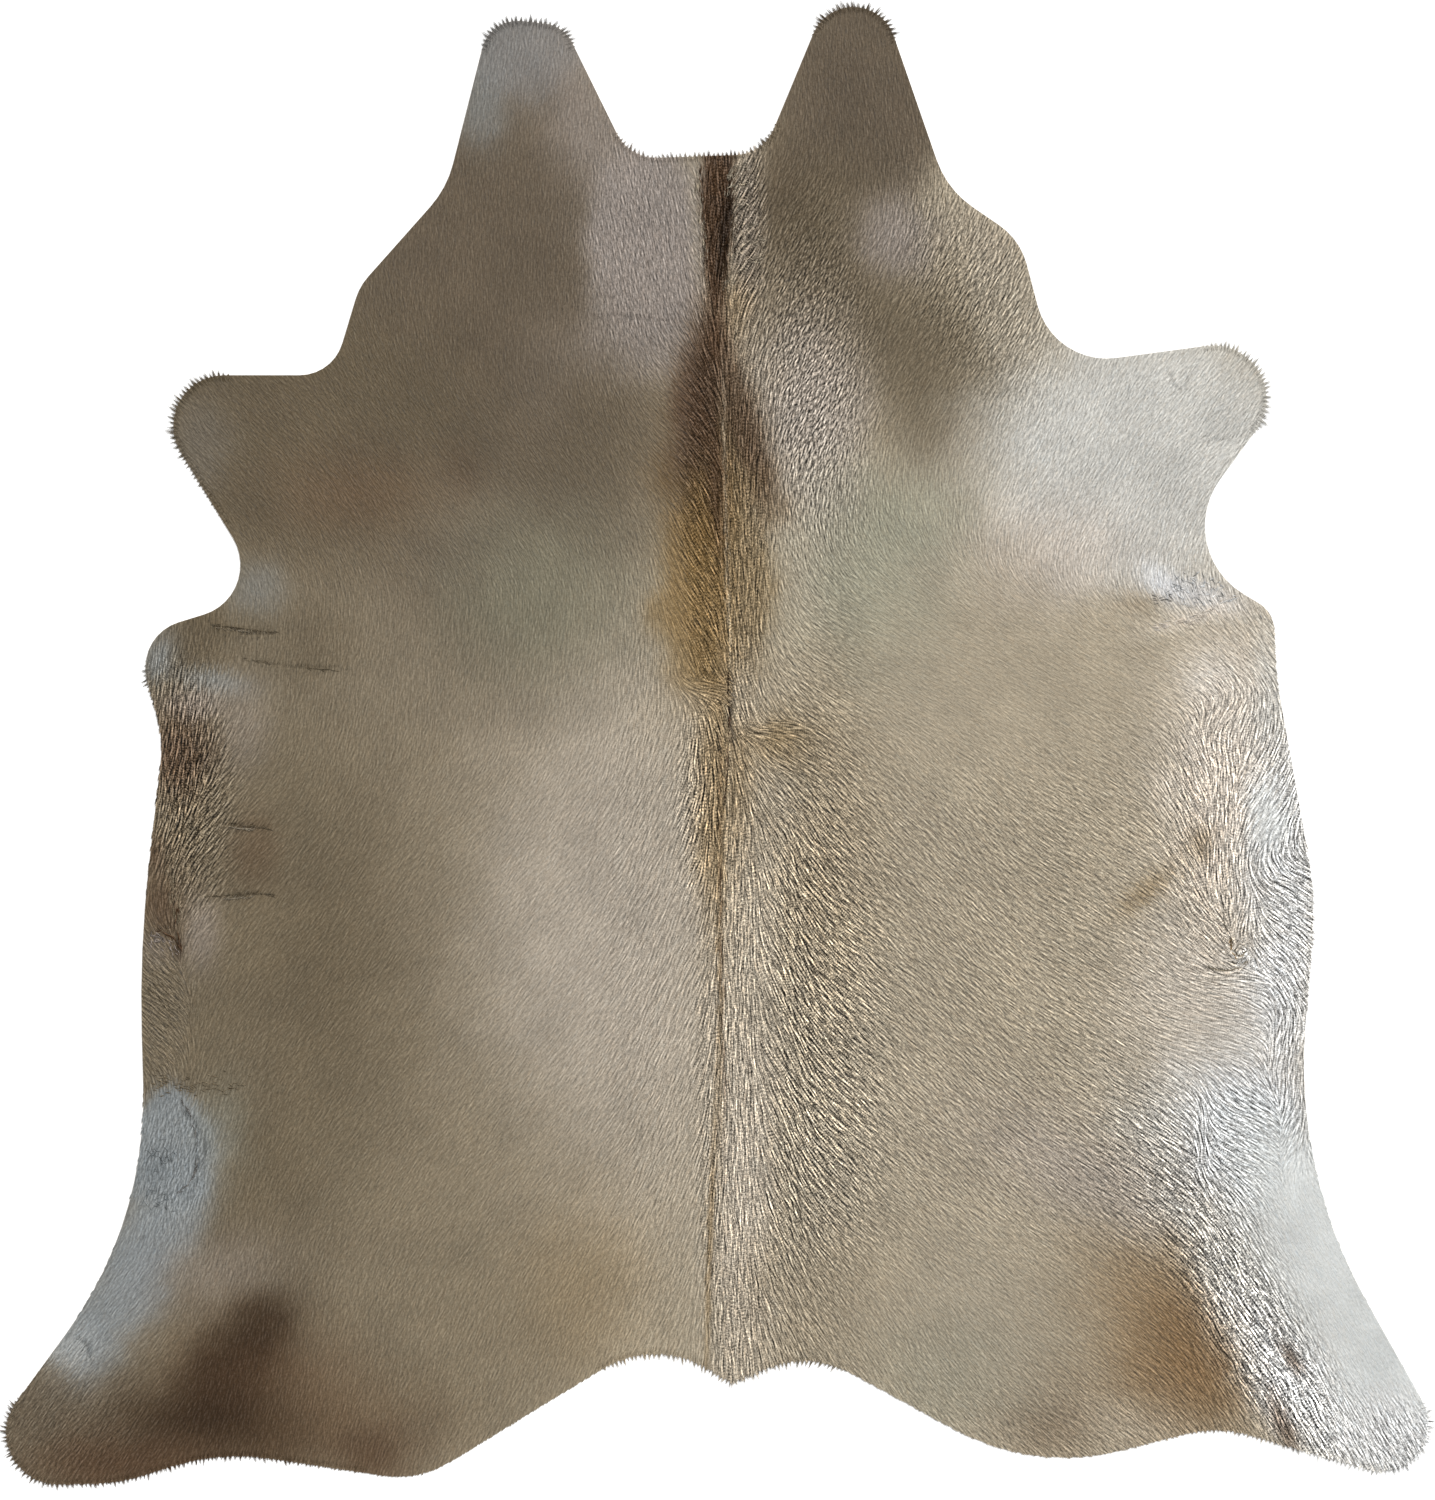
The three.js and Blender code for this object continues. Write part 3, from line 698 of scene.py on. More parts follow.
# %% Combing of the coat
COMBING = table("place at reach heading twist", [
    ("left flap", (-0.29, 0.95), (0.1, 0.12), -97),
    ("left of neck", (-0.3, 0.72), (0.14, 0.16), -92),
    ("mauve block", (-0.11, 0.72), (0.07, 0.14), -80),
    ("mane", (0.0, 0.76), (0.016, 0.13), -90),
    ("mane, left rim", (-0.034, 0.76), (0.008, 0.11), -62),
    ("curls", (0.045, 0.76), (0.018, 0.13), -122),
    ("right of neck", (0.14, 0.66), (0.07, 0.2), -118),
    ("right flap", (0.21, 0.95), (0.1, 0.12), -85),
    ("right shoulder", (0.35, 0.6), (0.1, 0.12), -120),
    ("left of the withers", (-0.07, 0.48), (0.05, 0.14), -48),
    ("left of the withers, rear", (-0.04, 0.24), (0.04, 0.12), -58),
    ("left of the meeting", (-0.025, 0.092), (0.035, 0.02), -12),
    ("withers", (0.014, 0.36), (0.014, 0.24), -88),
    ("right of the withers", (0.055, 0.3), (0.03, 0.2), -92),
    ("left shoulder", (-0.4, 0.38), (0.2, 0.14), -55),
    ("left foreleg", (-0.68, 0.44), (0.12, 0.12), -48),
    ("left chest", (-0.45, 0.1), (0.22, 0.12), -100),
    ("back", (0.025, -0.45), (0.03, 0.42), -90),
    ("left of the back", (-0.075, -0.35), (0.045, 0.42), -114),
    ("left body", (-0.33, -0.35), (0.2, 0.36), -126),
    ("left belly, edge", (-0.78, 0.0), (0.05, 0.09), -98),
    ("left belly", (-0.68, -0.1), (0.07, 0.12), -130),
    ("left flank, rear", (-0.81, -0.36), (0.03, 0.08), -40),
    ("left flank, mauve", (-0.73, -0.27), (0.03, 0.05), -120),
    ("left thigh", (-0.76, -0.62), (0.08, 0.1), -105),
    ("left hind leg", (-0.88, -0.86), (0.1, 0.12), -128),
    ("left buttock", (-0.6, -0.88), (0.14, 0.12), -104),
    ("left rump", (-0.3, -0.88), (0.14, 0.1), -112),
    ("fan, level", (0.075, 0.03), (0.05, 0.018), -3),
    ("fan, middle", (0.1, -0.02), (0.05, 0.022), -30),
    ("fan, steep", (0.105, -0.075), (0.045, 0.03), -46),
    ("right of the back", (0.095, -0.42), (0.03, 0.36), -64),
    ("right body", (0.3, -0.36), (0.14, 0.4), -42),
    ("right body, outer", (0.54, -0.3), (0.1, 0.34), -33),
    ("right body, front", (0.34, 0.12), (0.22, 0.1), -30),
    ("right chest", (0.55, 0.38), (0.14, 0.1), -118),
    ("right foreleg", (0.7, 0.48), (0.1, 0.1), -128),
    ("behind right elbow", (0.62, 0.1), (0.12, 0.06), -32),
    ("right flank, inner", (0.672, -0.06), (0.04, 0.1), -62),
    ("right flank, outer", (0.79, -0.06), (0.035, 0.07), -122),
    ("right flank, top", (0.735, 0.055), (0.05, 0.035), -118),
    ("right flank, middle", (0.722, -0.1), (0.03, 0.09), -92),
    ("whorl, left", (0.712, -0.255), (0.026, 0.03), -42),
    ("whorl, above", (0.757, -0.235), (0.022, 0.03), -104),
    ("whorl, right", (0.8, -0.285), (0.022, 0.03), -42),
    ("whorl's middle", (0.757, -0.291), (0.018, 0.018), None, 70),
    ("whorl, below", (0.735, -0.335), (0.045, 0.02), -8),
    ("right flank, smooth", (0.7, -0.4), (0.07, 0.04), -14),
    ("right edge, upper", (0.82, -0.21), (0.035, 0.045), -30),
    ("right edge, middle", (0.83, -0.34), (0.025, 0.04), -56),
    ("right edge, lower", (0.825, -0.41), (0.03, 0.05), -104),
    ("swirl", (0.755, -0.565), (0.05, 0.05), -27),
    ("swirl, left rim", (0.7, -0.56), (0.014, 0.05), -88),
    ("swirl, right rim", (0.828, -0.56), (0.016, 0.05), -122),
    ("right thigh fringe", (0.745, -0.8), (0.05, 0.15), -57),
    ("right buttock", (0.52, -0.78), (0.14, 0.1), -40),
    ("right rump", (0.25, -0.84), (0.12, 0.08), -55),
    ("right hind leg", (0.9, -0.85), (0.08, 0.14), -60),
    ("tail", (0.015, -0.88), (0.04, 0.05), -90),
], twist=None)
SOFTEN = 0.12                    # keeps a row from ruling too hard at its own middle
WHORL_FADE = 3                   # reaches at which a whorl has died away


def hair_heading(x, y):
    """Heading of the hair's tips at each place, in radians."""
    ahead = np.zeros((2, len(x)))
    for row in COMBING:
        dx, dy = x - row["at"][0], y - row["at"][1]
        weight = (SOFTEN + (dx / row["reach"][0]) ** 2 + (dy / row["reach"][1]) ** 2) ** -2.0
        if row["twist"] is None:
            turn = np.full(len(x), math.radians(row["heading"]))
        else:
            turn = np.arctan2(-dy, -dx) + math.radians(row["twist"])
            weight *= 1 - smooth_rise(np.hypot(dx, dy), WHORL_FADE * row["reach"][0])
        ahead += weight * np.array([np.cos(turn), np.sin(turn)])
    return np.arctan2(ahead[1], ahead[0])


beside_back = hair_heading(np.array([0.2]), np.array([-0.4]))
print("heading beside the back", np.degrees(beside_back).round(0))

# %% [markdown]
# The hair isn't equally long everywhere. On the left it is short and even, and on the legs
# shorter still. Along the back, on the right flank and behind the right thigh it is long
# enough to part into locks. A last table gives length, lift and how much neighbouring locks
# differ in brightness, which is what makes single strokes show; the same number sets how strong
# the painted shade and light on each lock and stroke are.

# %% Length and liveliness of the hair
PLAIN_COAT = dict(length=0.0115, lift=0.0004, contrast=0.06)
COATS = table("place at reach length lift contrast fade turn", [
    ("left neck", (-0.3, 0.7), (0.2, 0.4), 0.0105, 0.0004, 0.048),
    ("mauve block", (-0.105, 0.72), (0.09, 0.165), 0.0105, 0.0007, 0.13),
    ("right half", (0.72, -0.45), (0.66, 0.75), 0.015, 0.0008, 0.18, 0.1),
    ("right front", (0.38, 0.12), (0.33, 0.155), 0.0115, 0.0004, 0.04),
    ("beside the withers", (0.12, 0.2), (0.06, 0.14), 0.0115, 0.0004, 0.05),
    ("left of the back", (-0.08, -0.25), (0.07, 0.5), 0.016, 0.0006, 0.13),
    ("left of the parting", (-0.014, -0.06), (0.03, 0.125), 0.024, 0.0012, 0.56),
    ("right of the back", (0.12, -0.46), (0.09, 0.44), 0.0195, 0.0011, 0.58),
    ("neck, mottled", (0.13, 0.54), (0.08, 0.2), 0.0085, 0.0013, 0.3),
    ("right shoulder", (0.38, 0.66), (0.08, 0.16), 0.0125, 0.001, 0.27, 0.25, 27),
    ("right foreleg", (0.62, 0.43), (0.22, 0.18), 0.0105, 0.0006, 0.065),
    ("right rump", (0.36, -0.82), (0.26, 0.14), 0.012, 0.0005, 0.065),
    ("back", (0.03, -0.45), (0.052, 0.52), 0.027, 0.0012, 0.36, 0.1),
    ("fan", (0.085, -0.01), (0.06, 0.06), 0.016, 0.0011, 0.28, 0.2),
    ("withers", (0.01, 0.36), (0.065, 0.32), 0.024, 0.0013, 0.35, 0.1),
    ("mane", (0.0, 0.765), (0.022, 0.14), 0.022, 0.0014, 0.36, 0.1),
    ("curls", (0.047, 0.76), (0.022, 0.13), 0.0195, 0.002, 0.42, 0.15),
    ("right flank", (0.74, -0.12), (0.1, 0.205), 0.019, 0.0014, 0.31, 0.12),
    ("right edge", (0.83, -0.19), (0.05, 0.235), 0.0188, 0.0013, 0.37, 0.15),
    ("right flank, calm pale", (0.797, -0.095), (0.024, 0.05), 0.015, 0.0007, 0.14),
    ("right flank, smooth", (0.7, -0.42), (0.06, 0.05), 0.016, 0.0007, 0.13),
    ("swirl", (0.765, -0.565), (0.08, 0.085), 0.0165, 0.0009, 0.4, 0.15),
    ("right thigh, inner", (0.655, -0.62), (0.07, 0.12), 0.0182, 0.001, 0.42, 0.3, 30),
    ("right thigh fringe", (0.77, -0.84), (0.056, 0.22), 0.024, 0.002, 0.54, 0.15, 30),
    ("right hind leg", (0.935, -0.8), (0.085, 0.3), 0.0105, 0.0003, 0.01, 0.12, 30),
    ("right hind foot", (0.98, -1.0), (0.07, 0.05), 0.016, 0.0012, 0.28),
    ("left elbow", (-0.79, 0.09), (0.03, 0.055), 0.018, 0.0012, 0.28),
    ("left belly", (-0.762, -0.055), (0.048, 0.13), 0.0186, 0.0017, 0.56),
    ("left flank, rear", (-0.812, -0.36), (0.038, 0.1), 0.0165, 0.0009, 0.2),
    ("left thigh, slate", (-0.781, -0.6), (0.05, 0.09), 0.009, 0.0004, 0.1),
    ("left hind foot", (-0.95, -0.965), (0.1, 0.085), 0.013, 0.0009, 0.11),
], fade=USUAL_FADE, turn=0)


def coat_at(x, y, quality):
    """Length, lift or contrast of the coat at each place."""
    value = np.full(len(x), PLAIN_COAT[quality])
    for row in COATS:
        value += soft_oval(x, y, row) * (row[quality] - value)
    return value


rim_length = 1000 * coat_at(*edge.T, "length")
print("hair along the edge from", rim_length.min().round(1), "to", rim_length.max().round(1), "mm")

# %% [markdown]
# A lock is the smallest piece of the coat: a few dozen hairs that lie together. As a solid it
# needs only four corners, a root, a left and a right side that are buried in the underhair, and
# a raised tip. The line from root to tip is its crest, which catches the light. A long lock has
# one corner more, halfway along the crest, so that it can bend. Numpy works out all locks of a
# piece at once, because so many separate objects would choke any program.

# %% Shapes of a short and a long lock
SHORT_FACES = np.array([(0, 3, 1), (0, 2, 3), (0, 1, 2), (3, 2, 1)])
LONG_FACES = np.array([(0, 2, 4), (0, 4, 1), (3, 4, 2), (3, 1, 4), (0, 1, 2), (3, 2, 1)])
UPPER_FACES = {4: 2, 6: 4}       # of all the faces of a lock, how many look up
WIDEST = 0.4                     # share of its length at which a lock is widest
BURIED = 0.0002                  # how deep its sides lie in the underhair
CREST_LIFT = 0.75                # share of the tip's lift that a bent crest has halfway
CREST_ASIDE = -0.1               # and how far it lies aside, in shares of the bend
ABOVE_FLOOR = 0.0002


def beside(root, heading, forward, sideways):
    """Places ahead of each root and to its left, seen along the hair."""
    ahead = np.stack([np.cos(heading), np.sin(heading)], axis=1)
    left = np.stack([-ahead[:, 1], ahead[:, 0]], axis=1)
    return root + ahead * forward[:, None] + left * sideways[:, None]


def lock_corners(root, heading, length, width, lift, bend=None):
    """Root, left side, right side and tip of each lock, and the crest where it bends."""
    middle = WIDEST * length
    tip_side = np.zeros(len(root)) if bend is None else bend * length
    corners = [root, beside(root, heading, middle, width / 2), beside(root, heading, middle, -width / 2),
               beside(root, heading, length, tip_side)]
    above = [BURIED / 2, -BURIED, -BURIED, lift]
    if bend is not None:
        corners.append(beside(root, heading, middle, CREST_ASIDE * bend * length))
        above.append(CREST_LIFT * lift + BURIED)
    points = []
    for place, rise in zip(corners, above):
        height = np.maximum(ABOVE_FLOOR, skin_height(*place.T) + rise)
        points.append(np.column_stack([place, height]))
    return np.stack(points, axis=1)


print("a short lock has", len(SHORT_FACES), "triangles and a long one", len(LONG_FACES))

# %% Join many locks in one mesh
BAKE_PLACES = np.array([(0.25, 0.04), (0.04, 0.45), (0.46, 0.45), (0.25, 0.96), (0.25, 0.45)])
HALF_CELL = 0.5


def bake_map(count, faces):
    """A small cell of the texture for each lock, its upper faces left and its lower ones right."""
    row = math.ceil(math.sqrt(count))
    cells = np.stack([np.arange(count) % row, np.arange(count) // row], axis=1)
    in_cell = BAKE_PLACES[faces]
    in_cell[UPPER_FACES[len(faces)]:, :, 0] += HALF_CELL
    return (cells[:, None, None, :] + in_cell[None]) / row


def comb_marks(root, heading):
    """Direction, stroke length and contrast at each lock, for the finish's fine strokes."""
    reach, contrast = [coat_at(*root.T, quality) for quality in ("length", "contrast")]
    return np.column_stack([reach * np.cos(heading), reach * np.sin(heading), contrast])


def add_marks(mesh, rgba, marks):
    """Writes each corner's colour and combing to the mesh, where the finish finds them."""
    tint = mesh.color_attributes.new("tint", "FLOAT_COLOR", "POINT")
    tint.data.foreach_set("color", rgba.astype(np.float32).ravel())
    combed = mesh.attributes.new("combed", "FLOAT_VECTOR", "POINT")
    combed.data.foreach_set("vector", marks.astype(np.float32).ravel())


def joined_locks(name, corners, tones, marks):
    """One object from all locks, with their colours and their places on the texture."""
    count, per_lock = corners.shape[:2]
    faces = SHORT_FACES if per_lock == 4 else LONG_FACES
    triangles = (faces[None] + per_lock * np.arange(count)[:, None, None]).reshape(-1, 3)
    mesh = bpy.data.meshes.new(name)
    mesh.vertices.add(count * per_lock)
    mesh.vertices.foreach_set("co", corners.astype(np.float32).ravel())
    mesh.loops.add(triangles.size)
    mesh.loops.foreach_set("vertex_index", triangles.astype(np.int32).ravel())
    mesh.polygons.add(len(triangles))
    mesh.polygons.foreach_set("loop_start", np.arange(0, triangles.size, 3, dtype=np.int32))
    mesh.update(calc_edges=True)
    mesh.shade_flat()
    rgba = np.concatenate([tones, np.ones((count, per_lock, 1))], axis=2)
    add_marks(mesh, rgba, np.repeat(marks, per_lock, axis=0))
    layer = mesh.uv_layers.new(name="OFBake")
    layer.uv.foreach_set("vector", bake_map(count, faces).astype(np.float32).ravel())
    piece = bpy.data.objects.new(name, mesh)
    bpy.context.scene.collection.objects.link(piece)
    print(f"{name}: {count} locks, {len(triangles)} triangles")
    return piece


print("a short lock's place on the texture is", bake_map(1, SHORT_FACES)[0, 0].tolist())

# %% [markdown]
# Each lock gets the coat's colour at its root, made a little lighter or darker and warmer or
# cooler by chance. Its root and sides get painted shade and its tip and crest painted light,
# as real hair looks because less light gets down to the root. Locks that would stick out over a
# smooth cut edge are shortened: there the knife cut the hair too.

# %% Grow locks from a list of roots
HEADING_SPREAD = math.radians(4)
HEADING_STRAY = math.radians(6)
STRAY_WAVE = 0.014
LENGTH_CHANCE = (0.75, 1.25)
LIFT_CHANCE = (0.6, 1.4)
CUT_OVERHANG = 0.0015
SHORTEST = 0.35                  # of its length, what a trimmed lock keeps at least
SHALLOWEST = 1e-6                # keeps a lock along the edge from dividing by nothing
ROOT_STRAY = 0.48                # in pitches, how far a root lies from its place in the grid
ROOT_INSET = 0.0008
OWN_LIGHT = 0.22                 # share of the contrast that whole locks differ by
DARKEST_LOCK = 0.3
OWN_WARMTH = 0.015 * np.array([1.0, 0.0, -1.0])
# painted shade on the root and the sides, painted light on the tip and the crest
PAINTED_SHADE_AND_LIGHT = np.array([-1.2, -0.7, -0.7, 0.7, 0.3])   # from root to tip, in shares of the contrast


def scattered_roots(pitch, seed):
    """Roots all over the hide, about one pitch apart and never in rows."""
    low, high = edge.min(axis=0), edge.max(axis=0)
    x, y = np.meshgrid(np.arange(low[0], high[0], pitch), np.arange(low[1], high[1], pitch))
    x = x + pitch / 2 * (np.arange(x.shape[0]) % 2)[:, None]
    roots = np.stack([x.ravel(), y.ravel()], axis=1)
    roots += np.random.default_rng(seed).uniform(-ROOT_STRAY, ROOT_STRAY, roots.shape) * pitch
    return roots[depth_inside(*roots.T) > ROOT_INSET]


def lock_tones(colour, random, contrast, per_lock):
    """Colours of each lock's corners, each lock a little off its own colour, with painted shade at its
    root and sides and painted light at its tip and crest.
    """
    swing = OWN_LIGHT * contrast * random.normal(size=len(colour))
    brightness = np.maximum(DARKEST_LOCK, 1 + swing) ** SCREEN
    warmth = 1 + random.normal(size=(len(colour), 1)) * OWN_WARMTH
    own = colour * brightness[:, None] * warmth
    # painted shade and light from root to tip of each lock
    steps = 1 + contrast[:, None] * PAINTED_SHADE_AND_LIGHT[:per_lock]
    return np.clip(own[:, None, :] * steps[:, :, None], 0, 1)


def grow(name, root, width, seed, stray=1.0, bend=None):
    """Locks of one piece, from their roots to the joined mesh."""
    random = np.random.default_rng(seed)
    x, y = root.T
    aside = HEADING_SPREAD * random.normal(size=len(root))
    aside = aside + HEADING_STRAY * smooth_noise(x, y, STRAY_WAVE, 8)
    heading = hair_heading(x, y) + stray * aside
    length = coat_at(x, y, "length") * random.uniform(*LENGTH_CHANCE, len(root))
    lift = coat_at(x, y, "lift") * random.uniform(*LIFT_CHANCE, len(root))
    tip = beside(root, heading, length, np.zeros(len(root)))
    here, there = depth_inside(x, y), depth_inside(*tip.T)
    trimmed = (here + CUT_OVERHANG) / np.maximum(here - there, SHALLOWEST)
    length = np.where(there < -CUT_OVERHANG, length * np.clip(trimmed, SHORTEST, 1), length)
    bends = None if bend is None else bend * random.normal(size=len(root))
    corners = lock_corners(root, heading, length, np.full(len(root), width), lift, bends)
    marks = comb_marks(root, heading)
    tones = lock_tones(coat_colour(x, y), random, marks[:, 2], corners.shape[1])
    return joined_locks(name, corners, tones, marks)


print("roots 50 mm apart:", len(scattered_roots(0.05, 9)))

# %% [markdown]
# The short coat covers everything but the areas of long hair. It is split over the hide into
# five pieces, front, sides and hind parts, so that no piece gets too heavy.

# %% Short coat
LONG_FROM = 0.0185               # hair longer than this is made of long locks
SHORT_PITCH = 0.0039
SHORT_WIDTH = 0.0027
SHORT_SEED = 20                  # the first of the five pieces' seeds
FRONT_LINE, HIND_LINE = 0.27, -0.36
RAGGED = 0.0012                  # how far chance moves the border between short and long


def mostly_long(root, seed):
    """True for roots whose hair is long, with a ragged border between long and short."""
    length = coat_at(*root.T, "length")
    return length + RAGGED * np.random.default_rng(seed).normal(size=len(root)) > LONG_FROM


def short_coat():
    """Five pieces of short locks, each with its own part of the hide."""
    root = scattered_roots(SHORT_PITCH, 11)
    root = root[~mostly_long(root, 12)]
    x, y = root.T
    middle = (y <= FRONT_LINE) & (y > HIND_LINE)
    areas = {
        "coat_front": y > FRONT_LINE,
        "coat_left_side": middle & (x < 0),
        "coat_right_side": middle & (x >= 0),
        "coat_left_hind": (y <= HIND_LINE) & (x < 0),
        "coat_right_hind": (y <= HIND_LINE) & (x >= 0),
    }
    return [grow(name, root[here], SHORT_WIDTH, SHORT_SEED + k)
            for k, (name, here) in enumerate(areas.items())]


coat_pieces = short_coat()

# %% [markdown]
# The long hair is denser, because its locks overlap like roof tiles, and it wanders more. It is
# made in two pieces: along the back with the mane, and on the flanks and the right thigh.

# %% Long hair
LONG_PITCH = 0.0034
LONG_WIDTH = 0.0026
LONG_BEND = 0.10
BACK_HALF = 0.4                  # long hair nearer to the middle belongs to the back
BACK_STRAY, FLANK_STRAY = 1.3, 1.6


def long_hair():
    """Two pieces of long locks, one along the back and one on the flanks."""
    root = scattered_roots(LONG_PITCH, 31)
    root = root[mostly_long(root, 32)]
    by_the_back = np.abs(root[:, 0]) < BACK_HALF
    return [grow("long_hair_back", root[by_the_back], LONG_WIDTH, 33, BACK_STRAY, LONG_BEND),
            grow("long_hair_flanks", root[~by_the_back], LONG_WIDTH, 34, FLANK_STRAY, LONG_BEND)]


coat_pieces += long_hair()

# %% [markdown]
# At the neck, feet, elbow and tail the hair stands out over the cut as a fringe. Its hairs
# cling together in little spikes: neighbours lean towards a common point, like the teeth of a
# comb that got wet. The fringe's locks start just inside the edge, on top of the skin, and
# come down to the floor.

# %% Fringe over the cut edge
FRINGE_PITCH = 0.0009
FRINGE_ROOT = 0.010
FRINGE_WIDTH = 0.0010
TUFT_FADE = 31                   # pitches over which a run of tufts rises and dies away
SPIKE_PITCH = 0.0064
SPIKE_PULL = 0.78                # share of the way that tips lean to their spike's middle
SPIKE_STRAY, SPIKE_WAVE = 0.3, 0.013
FRINGE_CONTRAST = 0.22
FRINGE_REACH = 0.80              # share of the tuft that an average lock sticks out
RAGGEDNESS = ((0.24, 2.4), (0.15, 5.3))      # how unlike the spikes are: swing and turn
SLANTS = ((0.35, 0.05), (0.25, 0.021))       # how they lean along the edge: swing and wave
REACH_CHANCE, ROOT_CHANCE = (0.45, 1.15), (0.6, 1.2)
FRINGE_LIFT, FRINGE_BEND = 0.0006, 0.03
TIP_HEIGHT = (0.0004, 0.0022)
LEAST_TUFT = 0.0015
NO_RUN = 1e-9                    # keeps a run without length from dividing by nothing


def fringe_roots():
    """Roots at an even pitch along the tufted edge, with outward direction, tuft and distance."""
    runs = np.linalg.norm(next_corner - edge, axis=1)
    walked = np.concatenate([[0], np.cumsum(runs)])
    stops = np.arange(0, walked[-1], FRINGE_PITCH)
    i = np.clip(np.searchsorted(walked, stops, side="right") - 1, 0, len(edge) - 1)
    t = (stops - walked[i]) / np.maximum(runs[i], NO_RUN)
    after = (i + 1) % len(edge)
    place = edge[i] * (1 - t)[:, None] + edge[after] * t[:, None]
    out = edge_out[i] * (1 - t)[:, None] + edge_out[after] * t[:, None]
    out /= np.linalg.norm(out, axis=1)[:, None]
    tuft = np.where(edge_tuft[i] > 0, edge_tuft[i] * (1 - t) + edge_tuft[after] * t, 0)
    tuft = np.convolve(tuft, np.full(TUFT_FADE, 1 / TUFT_FADE), mode="same")
    tufted = tuft > LEAST_TUFT
    return place[tufted], out[tufted], tuft[tufted], stops[tufted]


def fringe():
    """One piece with every tufted run of the edge, its locks leaning together in spikes."""
    random = np.random.default_rng(41)
    place, out, tuft, walked = fringe_roots()
    spike = np.round(walked / SPIKE_PITCH + SPIKE_STRAY * np.sin(walked / SPIKE_WAVE))
    to_middle = spike * SPIKE_PITCH - walked
    ragged = np.exp(sum(swing * np.sin(turn * spike) for swing, turn in RAGGEDNESS))
    reach = FRINGE_REACH * tuft * ragged * random.uniform(*REACH_CHANCE, len(place))
    along = np.stack([-out[:, 1], out[:, 0]], axis=1)
    start = place - out * (FRINGE_ROOT * random.uniform(*ROOT_CHANCE, len(place)))[:, None]
    slant = sum(swing * np.sin(walked / wave) for swing, wave in SLANTS)
    tip = place + out * reach[:, None] + along * (SPIKE_PULL * to_middle + slant * reach)[:, None]
    run = tip - start
    heading = np.arctan2(run[:, 1], run[:, 0])
    width, lift = np.full(len(place), FRINGE_WIDTH), np.full(len(place), FRINGE_LIFT)
    bends = FRINGE_BEND * random.normal(size=len(place))
    corners = lock_corners(start, heading, np.linalg.norm(run, axis=1), width, lift, bends)
    corners[:, 4, 2] = skin_height(*place.T) + FRINGE_LIFT      # the crest lies on the edge
    corners[:, 3, 2] = random.uniform(*TIP_HEIGHT, len(place))  # and the tip near the floor
    marks = comb_marks(start, heading)
    tones = lock_tones(coat_colour(*start.T), random, np.full(len(place), FRINGE_CONTRAST), 5)
    return joined_locks("rim_fringe", corners, tones, marks)


coat_pieces.append(fringe())
